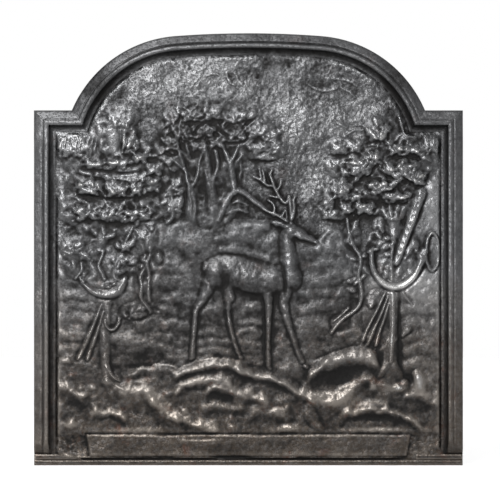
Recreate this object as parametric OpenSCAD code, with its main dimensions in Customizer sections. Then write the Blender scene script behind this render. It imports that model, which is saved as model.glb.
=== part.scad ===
// Cast-iron fireback with square shoulders, a three-centred arched top, a run moulding round the edge and a
// hunting scene in low relief. Millimetres, Z up. The picture faces -Y and the origin is the middle of the foot.

/* [Outline] */
// Width over the two stiles
body_w = 600; // [560:2:680]
// Height of the square shoulders above the foot
shoulder_h = 497; // [460:1:540]
// Length of each level shoulder beside the arch
shoulder_w = 53; // [42:1:64]
// Rise of the arch above the shoulders
arch_rise = 108; // [90:1:125]
// Radius of the two tight haunches of the arch
haunch_r = 171; // [140:1:180]
// Radius of the flat crown of the arch
crown_r = 1320; // [1000:10:1600]
// Thickness of the plate behind the picture
plate_t = 10; // [8:0.5:16]

/* [Border moulding] */
// Height of the bead above the field, the proudest part of the plate
border_h = 14; // [13:0.5:18]
// Width of the sloping outer rim
rim_w = 8; // [6:0.5:12]
// Height of the rim at the outer edge
rim_edge_h = 8; // [6:0.5:9]
// Height of the rim beside the groove
rim_h = 11; // [9.5:0.5:12]
// Radius of the round groove between rim and bead
groove_r = 1.5; // [1:0.25:2]
// Diameter of the bead
bead_d = 8; // [6:0.5:10]
// Radius of the cove that falls from the bead to the field
cove_r = 11; // [8:0.5:12]
// Height of the lip where the cove meets the field
cove_lip = 1; // [0.5:0.25:1.5]
// Height above the foot at which the stiles die out
stile_foot = 16; // [12:1:24]

/* [Foot] */
// Height of the plain rail along the foot
rail_h = 8; // [6:0.5:10]
// Thickness of the foot rail
rail_t = 3; // [2:0.5:5]
// Thickness of the pads in the two lower corners
pad_t = 2; // [1:0.5:4]
// Width of each corner pad
pad_w = 66; // [40:2:68]
// Gap between a corner pad and the blank tablet
pad_gap = 5; // [3:0.5:10]
// Height of the blank tablet
tablet_h = 34; // [24:1:36]
// Thickness of the blank tablet
tablet_t = 4; // [2:0.5:6]
// Gap between the foot rail and the tablet, and between the tablet and the ground
tablet_gap = 3; // [2:0.5:6]
// Edge bevel of the tablet and the rail
bevel = 1; // [0.5:0.25:1.5]

/* [Picture] */
// Height of the tallest figure above the field
relief_h = 11; // [8:0.5:12]
// Width of the stag's leg above the hoof
shank_w = 9; // [7:0.5:11]
// Thickness of an antler beam at its root
antler_w = 5; // [3.5:0.5:6]
// Length of an oak leaf
leaf_l = 21; // [16:0.5:24]
// Width of an oak leaf
leaf_w = 10; // [7:0.5:12]
// Width of the tree trunks at breast height
trunk_w = 19; // [15:0.5:22]
// Width of a hunting horn at its middle
horn_w = 10; // [8:0.5:12]
// Thickness of a spear or arrow shaft
shaft_w = 4; // [3:0.25:5]
// Width of the studded baton
baton_w = 12; // [9:0.5:13]
// Spacing of the studs on the baton and of the rings on the horns
stud_pitch = 12; // [10:0.5:16]

/* [Hidden] */
$fn = 96;

// Depth: the origin is half way between the back of the plate and the crest of the bead
body_d = plate_t + border_h;
field_y = body_d / 2 - plate_t;
bead_x = rim_w + 2 * groove_r + bead_d / 2;
cove_top = cove_lip + cove_r;
border_w = bead_x + bead_d / 2 + cove_r;

// Three-centred arch: the haunch circle passes through the springing point and touches the crown circle
half_w = body_w / 2;
spring = [half_w - shoulder_w, shoulder_h];
crown_c = [0, shoulder_h + arch_rise - crown_r];
centre_span = norm(spring - crown_c);
centre_dir = (spring - crown_c) / centre_span;
along = (pow(crown_r - haunch_r, 2) - pow(haunch_r, 2) + pow(centre_span, 2)) / (2 * centre_span);
aside = sqrt(pow(crown_r - haunch_r, 2) - pow(along, 2));
haunch_c = crown_c + along * centre_dir + aside * [-centre_dir.y, centre_dir.x];
join_a = atan2(haunch_c.x, haunch_c.y - crown_c.y);
spring_a = atan2(spring.y - haunch_c.y, spring.x - haunch_c.x);

// Inner edge of the border: where its level and arched parts meet, and its square corner
spring_in = [haunch_c.x + sqrt(pow(haunch_r - border_w, 2) - pow(spring.y - border_w - haunch_c.y, 2)),
             shoulder_h - border_w];
corner = [half_w, shoulder_h];
corner_in = [half_w - border_w, shoulder_h - border_w];

// The picture is drawn on a sheet 540 wide and 575 high and is enlarged to fill the field inside the border
sheet = [540, 575];
picture_scale = [(body_w - 2 * border_w) / sheet.x, (shoulder_h + arch_rise - border_w) / sheet.y, relief_h];
ground_y = rail_h + 2 * tablet_gap + tablet_h;
foot_line = ground_y / picture_scale.y;

// Widths and lengths of the figures as they are drawn on the sheet
drawn = 1 / picture_scale.x;
shank = shank_w * drawn;
beam = antler_w * drawn;
oak_leaf = [leaf_l, leaf_w] * drawn;
bole = trunk_w * drawn;
horn_tube = horn_w * drawn;
shaft = shaft_w * drawn;
baton = baton_w * drawn;
pitch = stud_pitch * drawn;

// ---------- helpers ----------

function beyond(p, q) = q + (q - p) * 0.3;

// Picture space: x to the right, y up, z out of the field towards the viewer
module on_field() {
    translate([0, field_y, 0]) rotate([90, 0, 0]) children();
}

// In the picture, heights are shares of the tallest figure
module picture() {
    on_field() scale(picture_scale) children();
}

// Closed solid through rings of equal length, each listed clockwise as seen when looking along the loft
module loft(rings) {
    n = len(rings[0]);
    last = (len(rings) - 1) * n;
    sides = [for (i = [0 : len(rings) - 2]) for (k = [0 : n - 1])
        [i * n + k, (i + 1) * n + k, (i + 1) * n + (k + 1) % n, i * n + (k + 1) % n]];
    polyhedron(points = [for (ring = rings) each ring],
               faces = concat([[for (k = [0 : n - 1]) k]], [[for (k = [n - 1 : -1 : 0]) last + k]], sides));
}

function flat(v) = [v[0], v[1]];
function heading(s, i) = let (d = flat(s[min(i + 1, len(s) - 1)]) - flat(s[max(i - 1, 0)])) d / norm(d);

// Rounded bar with a flat back through stations [x, y, half width, height]
module limb(stations) {
    loft([for (i = [0 : len(stations) - 1]) let (s = stations[i], t = heading(stations, i))
        [for (a = [0 : 45 : 180]) [s.x - t.y * s[2] * cos(a), s.y + t.x * s[2] * cos(a), s[3] * sin(a)]]]);
}

// Roll of ground through stations [x, crest, foot, crest height, foot height], steep behind the crest
module fold(stations) {
    loft([for (s = stations) let (run = s[1] - s[2])
        [[s[0], s[1], 0],
         [s[0], s[1], 0.6 * s[3]],
         [s[0], s[1] - min(3, run / 4), s[3]],
         [s[0], s[1] - run / 2, 0.35 * s[3] + 0.65 * s[4]],
         [s[0], s[2], s[4]],
         [s[0], s[2], 0]]]);
}

// Flat-backed peak at [x, y, half width, height]
module knob(p) {
    translate([p[0], p[1], 0]) cylinder(h = p[3], r1 = p[2], r2 = 0, $fn = 6);
}

module twig(a, b) {
    hull() {
        knob(a);
        knob(b);
    }
}

module stem(stations) {
    for (i = [1 : len(stations) - 1]) twig(stations[i - 1], stations[i]);
}

// Smallest convex solid round the points
module wrap(points) {
    hull() polyhedron(points = points, faces = [[for (i = [0 : len(points) - 1]) i]]);
}

// Swelling body part, an ellipse in plan and domed
module mass(at, radii, turn, h, sides = 10) {
    rings = [[1, 0], [0.85, 0.6], [0.4, 1]];
    translate(at) rotate(turn) wrap([for (ring = rings) for (i = [0 : sides - 1])
        [ring[0] * radii.x * cos(360 * i / sides), ring[0] * radii.y * sin(360 * i / sides), ring[1] * h]]);
}

// Low flat bed that a group of leaves lies on
module bed(at, radii) {
    translate(at) wrap([for (ring = [[1, 0], [0.92, 0.22]]) for (a = [0 : 40 : 320])
        [ring[0] * radii.x * cos(a), ring[0] * radii.y * sin(a), ring[1]]]);
}

// Level ledge of distant ground from x = from to x = to, highest along its upper edge
module ledge(from, to, y, h) {
    wrap([[from, y - 4, 0], [to, y - 4, 0], [from + 4, y + 6, 0], [to - 4, y + 6, 0],
          [from + 4, y + 3, h], [to - 4, y + 3, h]]);
}

// Ridged leaf that grows from its stalk end along the direction turn
module leaf(at, turn, size = oak_leaf, h = 0.7) {
    edge = [[0, 0], [0.3, 0.42], [0.7, 0.45], [1, 0], [0.7, -0.45], [0.3, -0.42]];
    translate(at) rotate(turn) wrap(concat(
        [for (p = edge) [p.x * size.x, p.y * size.y, 0]],
        [for (x = [0.25, 0.8]) [x * size.x, 0, h]]));
}

// Fan of ridged leaves round one stalk, made in one piece
module spray(at, from, to, count, grow = 1, h = 0.75) {
    reach = oak_leaf.x * grow;
    step = (to - from) / (count - 1);
    notch = min(0.85 * reach, oak_leaf.y * grow / 2 / sin(step / 2));
    stalk = -0.3 * reach * [cos((from + to) / 2), sin((from + to) / 2)];
    rim = concat([stalk], [for (i = [0 : 2 * count])
        let (a = from + (i - 1) * step / 2, r = i % 2 == 0 ? notch : reach) r * [cos(a), sin(a)]]);
    n = len(rim);
    ridges = [for (i = [0 : count - 1]) let (a = from + i * step)
        [0.7 * reach * cos(a), 0.7 * reach * sin(a), h]];
    points = concat([for (p = rim) [p.x, p.y, 0]], [for (p = rim) [p.x, p.y, 0.35 * h]],
                    [[0, 0, 0.8 * h]], ridges);
    top = 2 * n;
    blades = [for (i = [0 : count - 1])
        let (left = n + 1 + 2 * i, tip = left + 1, right = left + 2, ridge = top + 1 + i)
        each [[tip, left, ridge], [right, tip, ridge], [top, right, ridge], [left, top, ridge]]];
    translate(at) polyhedron(points = points, faces = concat(
        [[for (k = [0 : n - 1]) k]],
        [for (k = [0 : n - 1]) [k, n + k, n + (k + 1) % n, (k + 1) % n]],
        [[n + 1, n, top], [n, top - 1, top]],
        blades));
}

// ---------- plate and mouldings ----------

module outline() {
    translate([-half_w, 0]) square([body_w, shoulder_h]);
    for (side = [-1, 1]) translate([side * haunch_c.x, haunch_c.y]) circle(haunch_r);
    intersection() {
        translate(crown_c) circle(crown_r, $fn = 720);
        polygon([[-haunch_c.x, haunch_c.y], haunch_c,
                 haunch_c + 1.3 * haunch_r * [sin(join_a), cos(join_a)],
                 [-haunch_c.x, haunch_c.y] + 1.3 * haunch_r * [-sin(join_a), cos(join_a)]]);
    }
}

module backplate() {
    color("#3a3a3c") on_field() translate([0, 0, -plate_t]) linear_extrude(plate_t) outline();
}

// Section of the border without its bead: x inwards from the outer edge, y out of the field
module band_section() {
    difference() {
        polygon([[0, 0], [0, rim_edge_h], [rim_w, rim_h], [bead_x, rim_h], [bead_x, cove_top],
                 [border_w, cove_top], [border_w, 0]]);
        translate([rim_w + groove_r, rim_h]) circle(groove_r);
        translate([border_w, cove_top]) circle(cove_r);
    }
}

module bead_section() {
    translate([bead_x, border_h - bead_d / 2]) circle(d = bead_d);
}

// Straight run of border: its outer edge starts at the local origin and runs along -y, with the field to the right
module border_run(length) {
    rotate([90, 0, 0]) {
        linear_extrude(length) band_section();
        linear_extrude(length) bead_section();
    }
}

module border_arc(radius, from, sweep, steps) {
    rotate([0, 0, from]) {
        rotate_extrude(angle = sweep, $fn = steps) translate([radius, 0]) mirror([1, 0]) band_section();
        rotate_extrude(angle = sweep, $fn = steps) translate([radius, 0]) mirror([1, 0]) bead_section();
    }
}

// Plan area as tall as the border, used to cut the mitres
module plan(points) {
    translate([0, 0, -1]) linear_extrude(border_h + 2) polygon(points);
}

module stile() {
    color("#2e2e30") on_field() difference() {
        intersection() {
            translate([half_w, shoulder_h, 0]) mirror([1, 0, 0]) border_run(shoulder_h - stile_foot);
            plan([beyond(corner_in, corner), beyond(corner, corner_in), [beyond(corner, corner_in).x, 0],
                  [beyond(corner_in, corner).x, 0]]);
        }
        // the moulding slopes down to the corner pad
        translate([half_w - border_w - 1, stile_foot, 0]) rotate([45, 0, 0])
            cube([border_w + 2, 2 * border_h, border_h]);
    }
}

module shoulder() {
    color("#2e2e30") on_field() intersection() {
        translate([half_w, shoulder_h, 0]) rotate([0, 0, -90]) border_run(half_w - spring_in.x);
        plan([beyond(spring_in, spring), beyond(corner_in, corner), beyond(corner, corner_in),
              beyond(spring, spring_in)]);
    }
}

module haunch() {
    lead = 20;
    low = beyond(spring_in, spring);
    high = beyond(spring, spring_in);
    color("#333335") on_field() difference() {
        translate(haunch_c) border_arc(haunch_r, spring_a - lead, 90 - join_a - spring_a + lead, 360);
        plan([high, low, [half_w + border_w, low.y], [half_w + border_w, haunch_c.y - haunch_r / 2],
              [high.x, haunch_c.y - haunch_r / 2]]);
    }
}

module arch_crown() {
    color("#333335") on_field() translate(crown_c) border_arc(crown_r, 90 - join_a, 2 * join_a, 720);
}

// Strip lying on the field with its two long edges bevelled
module bevelled_strip(length, width, thickness) {
    translate([-length / 2, 0, 0]) rotate([90, 0, 90]) linear_extrude(length)
        polygon([[0, 0], [width, 0], [width, thickness - bevel], [width - bevel, thickness],
                 [bevel, thickness], [0, thickness - bevel]]);
}

module foot_rail() {
    color("#343330") on_field() bevelled_strip(body_w, rail_h, rail_t);
}

module corner_pads() {
    color("#343330") on_field() for (side = [-1, 1])
        translate([side * (half_w - pad_w / 2) - pad_w / 2, rail_h, 0])
            cube([pad_w, stile_foot - rail_h, pad_t]);
}

module tablet() {
    color("#363533") on_field() translate([0, rail_h + tablet_gap, 0])
        bevelled_strip(body_w - 2 * (pad_w + pad_gap), tablet_h, tablet_t);
}

// ---------- land ----------

module ground_left_form() {
    fold([[-270, 118, foot_line, 0.45, 0.25], [-240, 116, foot_line, 0.5, 0.3], [-205, 113, foot_line, 0.6, 0.3],
          [-180, 108, foot_line, 0.7, 0.35], [-165, 104, foot_line, 0.7, 0.35], [-150, 107, foot_line, 0.75, 0.4],
          [-135, 102, foot_line, 0.75, 0.4], [-122, 90, foot_line, 0.7, 0.4], [-108, 78, foot_line, 0.6, 0.4],
          [-98, 70, foot_line, 0.5, 0.35]]);
    fold([[-192, 130, 100, 0.5, 0.4], [-175, 117, 98, 0.45, 0.4], [-150, 112, 96, 0.45, 0.35],
          [-130, 106, 88, 0.45, 0.35], [-112, 92, 76, 0.45, 0.3], [-98, 84, 66, 0.45, 0.3]]);
    for (rock = [[-250, 121, 12, 9], [-235, 108, 9, 6], [-218, 110, 9, 6], [-228, 99, 8, 6], [-252, 62, 16, 9]])
        mass([rock.x, rock.y], [rock[2], rock[3]], 0, 0.65, 7);
    for (tuft = [[-222, 70, 20], [-204, 72, -15], [-190, 76, -30], [-168, 58, 40], [-158, 60, 140]])
        leaf([tuft.x, tuft.y], tuft[2], [26, 9], 0.62);
}

module ground_centre_form() {
    fold([[-98, 130, 100, 0.5, 0.4], [-80, 137, 104, 0.6, 0.45], [-55, 141, 108, 0.65, 0.45],
          [-20, 142, 108, 0.65, 0.45], [0, 131, 100, 0.65, 0.45], [25, 123, 96, 0.65, 0.45],
          [50, 112, 90, 0.65, 0.45], [74, 101, 80, 0.6, 0.45]]);
    fold([[-98, 108, foot_line, 0.55, 0.3], [-75, 115, foot_line, 0.75, 0.35], [-50, 119, foot_line, 0.85, 0.4],
          [-25, 118, foot_line, 0.8, 0.4], [0, 108, foot_line, 0.7, 0.4], [30, 100, foot_line, 0.6, 0.4],
          [55, 90, foot_line, 0.6, 0.4], [74, 80, foot_line, 0.6, 0.35]]);
    fold([[-98, 70, foot_line, 0.8, 0.5], [-80, 64, foot_line, 0.8, 0.5], [-60, 58, foot_line, 0.7, 0.45],
          [-44, 54, foot_line, 0.6, 0.4]]);
    for (rock = [[-88, 78, 9, 7], [-45, 104, 14, 6], [-25, 104, 12, 6], [-5, 98, 12, 6], [-30, 75, 14, 7],
                 [20, 88, 12, 7], [42, 92, 9, 8], [56, 76, 9, 7]])
        mass([rock.x, rock.y], [rock[2], rock[3]], 0, 0.85, 7);
    for (tuft = [[40, 54, 30], [60, 55, 150], [-25, 58, 100]])
        leaf([tuft.x, tuft.y], tuft[2], [22, 9], 0.75);
}

module ground_right_form() {
    fold([[74, 104, 76, 0.6, 0.4], [90, 94, 72, 0.7, 0.4], [110, 91, 68, 0.75, 0.45], [130, 96, 66, 0.8, 0.45],
          [150, 108, 68, 0.75, 0.45], [175, 116, 70, 0.75, 0.45], [195, 114, 70, 0.75, 0.45],
          [222, 112, 66, 0.7, 0.4], [245, 108, 60, 0.6, 0.3], [270, 100, 54, 0.4, 0.2]]);
    fold([[74, 89, foot_line, 0.55, 0.38], [99, 79, foot_line, 0.6, 0.42], [127, 74, foot_line, 0.75, 0.4],
          [153, 77, foot_line, 0.8, 0.4], [188, 80, foot_line, 0.8, 0.4], [218, 74, foot_line, 0.7, 0.35],
          [249, 66, foot_line, 0.5, 0.3], [270, 61, foot_line, 0.35, 0.22]]);
    fold([[92, 136, 86, 0.5, 0.35], [112, 144, 84, 0.65, 0.35], [135, 150, 86, 0.75, 0.4],
          [160, 154, 96, 0.75, 0.4], [180, 148, 102, 0.6, 0.4]]);
    for (rock = [[224, 121, 9, 12], [240, 116, 9, 14], [205, 111, 13, 7], [141, 84, 12, 8], [119, 91, 11, 7],
                 [181, 84, 12, 6], [219, 73, 10, 6]])
        mass([rock.x, rock.y], [rock[2], rock[3]], 0, 0.85, 7);
    for (tuft = [[84, 82, -65], [92, 60, 20], [104, 58, 40], [150, 130, 60]])
        leaf([tuft.x, tuft.y], tuft[2], [24, 9], 0.8);
}

// Distant ledges and knolls, each a low roll lying level
module far_bank_left_form() {
    for (bank = [[-190, -112, 178], [-182, -120, 164], [-130, -80, 254], [-132, -84, 232], [-266, -240, 262],
                 [-266, -234, 205], [-264, -232, 181], [-188, -130, 142], [-58, -34, 182], [-60, -36, 163],
                 [-8, 14, 205], [-8, 14, 172]])
        ledge(bank.x, bank.y, bank.z, 0.35);
}

module far_bank_right_form() {
    limb([[96, 298, 3, 0.2], [102, 326, 7, 0.35], [122, 332, 8, 0.4], [136, 312, 6, 0.3], [139, 290, 3, 0.2]]);
    for (bank = [[84, 122, 225], [96, 128, 256], [112, 144, 270], [84, 108, 192], [78, 112, 206],
                 [216, 264, 216], [224, 260, 196], [220, 252, 160], [244, 266, 250], [106, 126, 304]])
        ledge(bank.x, bank.y, bank.z, 0.35);
}

// ---------- stag ----------

module leg(points, thick) {
    limb([for (i = [0 : len(points) - 1]) [points[i].x, points[i].y, shank / 2 * points[i][2], thick]]);
}

module hoof(at) {
    hull() {
        translate(at) knob([0, 5, 4.5, 0.62]);
        translate(at) knob([4, 0.5, 4, 0.5]);
        translate(at) knob([-3, 0.5, 3, 0.5]);
    }
}

module stag_form() {
    // barrel and neck
    limb([[-61, 280, 8, 0.6], [-52, 274, 20, 0.8], [-32, 272, 25, 0.88], [-8, 266, 25, 0.9], [14, 260, 26, 0.93],
          [38, 262, 28, 0.97], [58, 264, 23, 0.9], [73, 262, 10, 0.65]]);
    limb([[52, 262, 20, 0.95], [53, 285, 13, 0.88], [56, 305, 10, 0.82], [61, 320, 10, 0.8], [64, 332, 7, 0.7]]);
    // swelling masses
    mass([-44, 268], [18, 26], 20, 1);
    mass([36, 256], [17, 24], -15, 1);
    mass([66, 262], [11, 18], 10, 0.9);
    mass([60, 326], [11, 10], 20, 0.85);
    // head, ear, eye, tail
    limb([[56, 331, 8, 0.75], [68, 327, 9.5, 0.85], [80, 320, 7.5, 0.78], [91, 315, 5.5, 0.65], [98, 312, 4, 0.5]]);
    leaf([57, 337], 178, [26, 10], 0.8);
    leaf([62, 340], 130, [18, 8], 0.7);
    mass([67, 329], [3, 2.2], -15, 0.95);
    mass([95, 312], [4, 3], -20, 0.7);
    leaf([-58, 286], 232, [20, 9], 0.75);
    // legs
    leg([[-56, 262, 3.4], [-60, 243, 2.4], [-70, 222, 1.5], [-76, 208, 1.15], [-78, 188, 1], [-80, 166, 1],
         [-78, 155, 1.1]], 0.75);
    leg([[-30, 262, 3.6], [-29, 238, 2.4], [-28, 212, 1.4], [-25, 192, 1.15], [-20, 172, 1], [-15, 155, 1.1]], 0.6);
    leg([[26, 250, 3.2], [28, 225, 2], [28, 198, 1.5], [27, 175, 1.05], [27, 155, 1], [28, 141, 1.1]], 0.75);
    leg([[52, 248, 3.2], [51, 225, 2], [54, 205, 1.6], [62, 182, 1.1], [69, 160, 1], [76, 144, 1.1]], 0.6);
    for (at = [[-78, 148], [-13, 148], [29, 134], [80, 138]]) hoof(at);
}

module antlers_form() {
    root = beam / 2;
    tip = 0.5 * root;
    // two long beams, the far one above the near one
    stem([[53, 343, root, 0.6], [45, 348, root, 0.55], [38, 352, root, 0.55], [30, 355, 0.9 * root, 0.5],
          [22, 359, tip, 0.4]]);
    stem([[60, 346, root, 0.6], [59, 360, root, 0.6], [57, 374, root, 0.55], [52, 368, root, 0.6],
          [45, 374, root, 0.6], [39, 384, root, 0.55], [35, 393, root, 0.55], [31, 403, 0.8 * root, 0.5],
          [30, 413, tip, 0.4]]);
    // tines
    stem([[36, 353, 0.8 * root, 0.5], [36, 362, 0.8 * root, 0.5], [30, 370, tip, 0.4]]);
    stem([[44, 375, 0.8 * root, 0.5], [31, 377, tip, 0.4]]);
    stem([[35, 391, 0.8 * root, 0.5], [23, 396, 0.7 * root, 0.45], [16, 417, tip, 0.4]]);
    stem([[24, 397, 0.7 * root, 0.45], [8, 404, tip, 0.35]]);
    stem([[63, 345, 0.8 * root, 0.55], [66, 358, 0.8 * root, 0.5], [66, 376, tip, 0.4]]);
    stem([[46, 348, 0.7 * root, 0.5], [48, 360, tip, 0.4]]);
}

// ---------- wood behind the stag ----------

module back_trunks_form() {
    limb([[-80, 338, 9, 0.4], [-79, 360, 8, 0.45], [-80, 380, 8, 0.5], [-82, 394, 8, 0.5]]);
    limb([[-84, 390, 5, 0.45], [-91, 405, 4, 0.45], [-93, 425, 3.5, 0.4], [-98, 445, 3, 0.35], [-99, 470, 2, 0.3]]);
    limb([[-79, 390, 5, 0.45], [-72, 405, 4, 0.45], [-66, 425, 3.5, 0.4], [-60, 445, 3, 0.35]]);
    limb([[-44, 338, 10, 0.4], [-47, 360, 8, 0.45], [-54, 385, 7, 0.45], [-58, 410, 5, 0.4], [-52, 440, 3, 0.3]]);
    limb([[-40, 350, 6, 0.4], [-30, 372, 6, 0.45], [-18, 384, 5.5, 0.45], [-6, 384, 5, 0.45], [4, 372, 4, 0.4],
          [12, 360, 3, 0.35]]);
    limb([[-20, 382, 5, 0.4], [-25, 405, 5, 0.45], [-26, 430, 4.5, 0.4], [-32, 452, 3, 0.3]]);
    limb([[-44, 372, 5, 0.4], [-40, 400, 5, 0.4], [-44, 430, 3, 0.35]]);
    stem([[-24, 420, 3, 0.4], [-14, 434, 2.5, 0.35], [-8, 446, 2, 0.3]]);
    stem([[-114, 400, 4, 0.35], [-108, 375, 4, 0.4], [-106, 350, 4, 0.4], [-112, 340, 3, 0.35]]);
    stem([[-120, 452, 2, 0.3], [-108, 440, 2.5, 0.35], [-95, 436, 2.5, 0.35]]);
    stem([[-110, 428, 2, 0.3], [-98, 420, 2.5, 0.35], [-91, 414, 2.5, 0.35]]);
}

module back_foliage_form() {
    spray([-74, 472], 40, 220, 5, 0.9, 0.4);
    spray([-46, 462], 10, 200, 5, 0.9, 0.42);
    spray([-18, 470], -20, 200, 6, 0.9, 0.42);
    spray([8, 462], -30, 160, 5, 0.85, 0.4);
    spray([-112, 474], 60, 250, 5, 0.8, 0.38);
    spray([20, 440], -20, 180, 5, 0.8, 0.4);
    for (loose = [[-98, 492, 80], [-60, 495, 70], [-34, 492, 100], [2, 492, 60], [32, 470, 20], [44, 448, 10],
                  [-90, 458, 130], [-2, 446, -30]])
        leaf([loose.x, loose.y], loose.z, 0.7 * oak_leaf, 0.38);
}

// ---------- left tree and trophy ----------

module left_trunk_form() {
    half = bole / 2;
    limb([[-206, 338, 0.8 * half, 0.5], [-203, 300, 0.8 * half, 0.55], [-204, 262, 0.9 * half, 0.55],
          [-202, 215, 0.85 * half, 0.6], [-201, 170, 0.8 * half, 0.65], [-201, 140, half, 0.7],
          [-200, 122, 1.5 * half, 0.7]]);
    for (root = [[-214, 118, 9], [-200, 116, 8], [-187, 118, 9]])
        twig([-201, 132, 7, 0.7], [root.x, root.y, root[2] / 2, 0.6]);
    for (knot = [[-202, 150], [-200, 136], [-206, 192], [-203, 170]])
        mass(knot, [4.5, 6], 0, 0.85, 7);
    stem([[-207, 326, 4, 0.6], [-222, 338, 3, 0.5], [-236, 345, 2, 0.4]]);
    stem([[-200, 322, 4, 0.6], [-184, 336, 3, 0.5], [-170, 344, 2, 0.4]]);
}

module left_crown_form() {
    for (bough = [[-205, 344, 62, 15], [-200, 366, 58, 16], [-198, 392, 52, 17], [-176, 420, 44, 14],
                  [-190, 452, 22, 26], [-128, 398, 22, 24]])
        bed([bough.x, bough.y], [bough[2], bough[3]]);
    // lowest tier, reaching outwards
    spray([-238, 356], 30, 210, 5, 1, 0.7);
    spray([-218, 352], 20, 170, 4, 1, 0.7);
    spray([-192, 352], 0, 180, 5, 1, 0.75);
    spray([-168, 356], -20, 150, 5, 1, 0.75);
    spray([-148, 352], -30, 60, 4, 1, 0.7);
    // middle tier
    spray([-222, 392], 10, 200, 5, 1.05, 0.75);
    spray([-204, 390], -20, 60, 4, 1, 0.75);
    spray([-184, 388], 0, 200, 5, 1.05, 0.8);
    spray([-160, 388], -30, 80, 4, 1, 0.75);
    // top tier and the loose spray above it
    spray([-208, 418], 0, 180, 5, 0.9, 0.65);
    spray([-180, 420], 0, 180, 5, 1, 0.7);
    spray([-152, 430], -40, 90, 5, 0.9, 0.65);
    spray([-190, 446], 60, 200, 4, 1.3, 0.7);
    spray([-178, 450], 30, 100, 4, 1.2, 0.65);
    spray([-132, 404], 0, 230, 6, 1, 0.6);
    for (loose = [[-112, 412, 20], [-240, 372, 160], [-229, 400, 166], [-146, 440, 50]])
        leaf([loose.x, loose.y], loose.z);
}

module horn(stations, bands) {
    limb([for (s = stations) [s.x, s.y, horn_tube / 2 * s[2], 0.85]]);
    for (band = bands) leaf([band.x, band.y] - horn_tube * 0.75 * [cos(band.z), sin(band.z)], band.z,
                            [1.5 * horn_tube, 4], 1);
}

module left_horn_form() {
    horn([[-236, 262, 0.5], [-230, 250, 0.7], [-220, 243, 0.9], [-206, 239, 1], [-192, 242, 1.15],
          [-181, 250, 1.25], [-174, 260, 1.4], [-172, 270, 1.7]],
         [[-229, 249, 50], [-217, 241, 70], [-206, 239, 90], [-194, 241, 105], [-183, 248, 130],
          [-176, 256, 150], [-173, 264, 170], [-234, 258, 30]]);
    stem([[-190, 268, 2, 0.6], [-185, 276, 2, 0.6], [-178, 284, 2, 0.6]]);
}

module left_spears_form() {
    half = shaft / 2;
    stem([[-207, 228, half, 0.6], [-222, 190, half, 0.6], [-238, 150, half, 0.6]]);
    stem([[-205, 226, half, 0.6], [-215, 190, half, 0.6], [-223, 150, half, 0.6]]);
    stem([[-200, 198, half, 0.6], [-197, 191, half, 0.6], [-190, 190, half, 0.6], [-184, 195, half, 0.6],
          [-181, 203, half, 0.6]]);
    leaf([-236, 155], 248, [22, 8], 0.7);
    leaf([-222, 155], 258, [22, 8], 0.7);
}

module left_ribbon_form() {
    stem([[-146, 328, 4, 0.5], [-144, 312, 4, 0.5], [-140, 298, 3, 0.5], [-148, 288, 3, 0.5], [-142, 272, 3, 0.5],
          [-150, 262, 4, 0.5], [-146, 248, 3, 0.5], [-149, 236, 3, 0.5], [-139, 220, 4, 0.5]]);
    stem([[-139, 286, 3, 0.45], [-138, 262, 3, 0.45], [-139, 236, 3, 0.45], [-137, 222, 3, 0.45]]);
    leaf([-150, 214], 205, [26, 10], 0.5);
    leaf([-136, 336], 160, [22, 14], 0.55);
}

module left_quiver_form() {
    twig([-160, 330, 7, 0.7], [-174, 298, 6, 0.75]);
    for (arrow = [[-176, 296, -188, 272], [-172, 296, -180, 274], [-168, 298, -170, 280]])
        twig([arrow[0], arrow[1], shaft / 2, 0.55], [arrow[2], arrow[3], shaft / 2, 0.5]);
    for (feather = [[-156, 332, 60], [-160, 334, 80], [-164, 334, 100]])
        leaf([feather.x, feather.y], feather.z, [12, 5], 0.6);
    for (lump = [[-240, 306, 12, 9], [-230, 296, 8, 7], [-250, 310, 9, 7]])
        mass([lump.x, lump.y], [lump[2], lump[3]], -20, 0.6);
}

// ---------- right tree and trophy ----------

module right_trunk_form() {
    half = bole / 2;
    limb([[203, 330, 0.8 * half, 0.5], [202, 290, 0.85 * half, 0.55], [202, 245, 0.9 * half, 0.6],
          [201, 205, 0.9 * half, 0.65], [199, 170, 0.95 * half, 0.7], [198, 140, 1.1 * half, 0.7],
          [197, 120, 1.5 * half, 0.65]]);
    // cut stub of a bough
    twig([206, 180, 7, 0.7], [222, 190, 6, 0.75]);
    mass([222, 190], [7, 5], 35, 0.9);
    for (root = [[184, 120], [196, 118], [212, 118]])
        twig([198, 136, 7, 0.7], [root.x, root.y, 4, 0.6]);
    for (ridge = [[196, 230, 195, 205], [204, 235, 203, 205], [194, 190, 195, 160], [205, 175, 203, 145]])
        twig([ridge[0], ridge[1], 2, 0.8], [ridge[2], ridge[3], 2, 0.8]);
}

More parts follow.
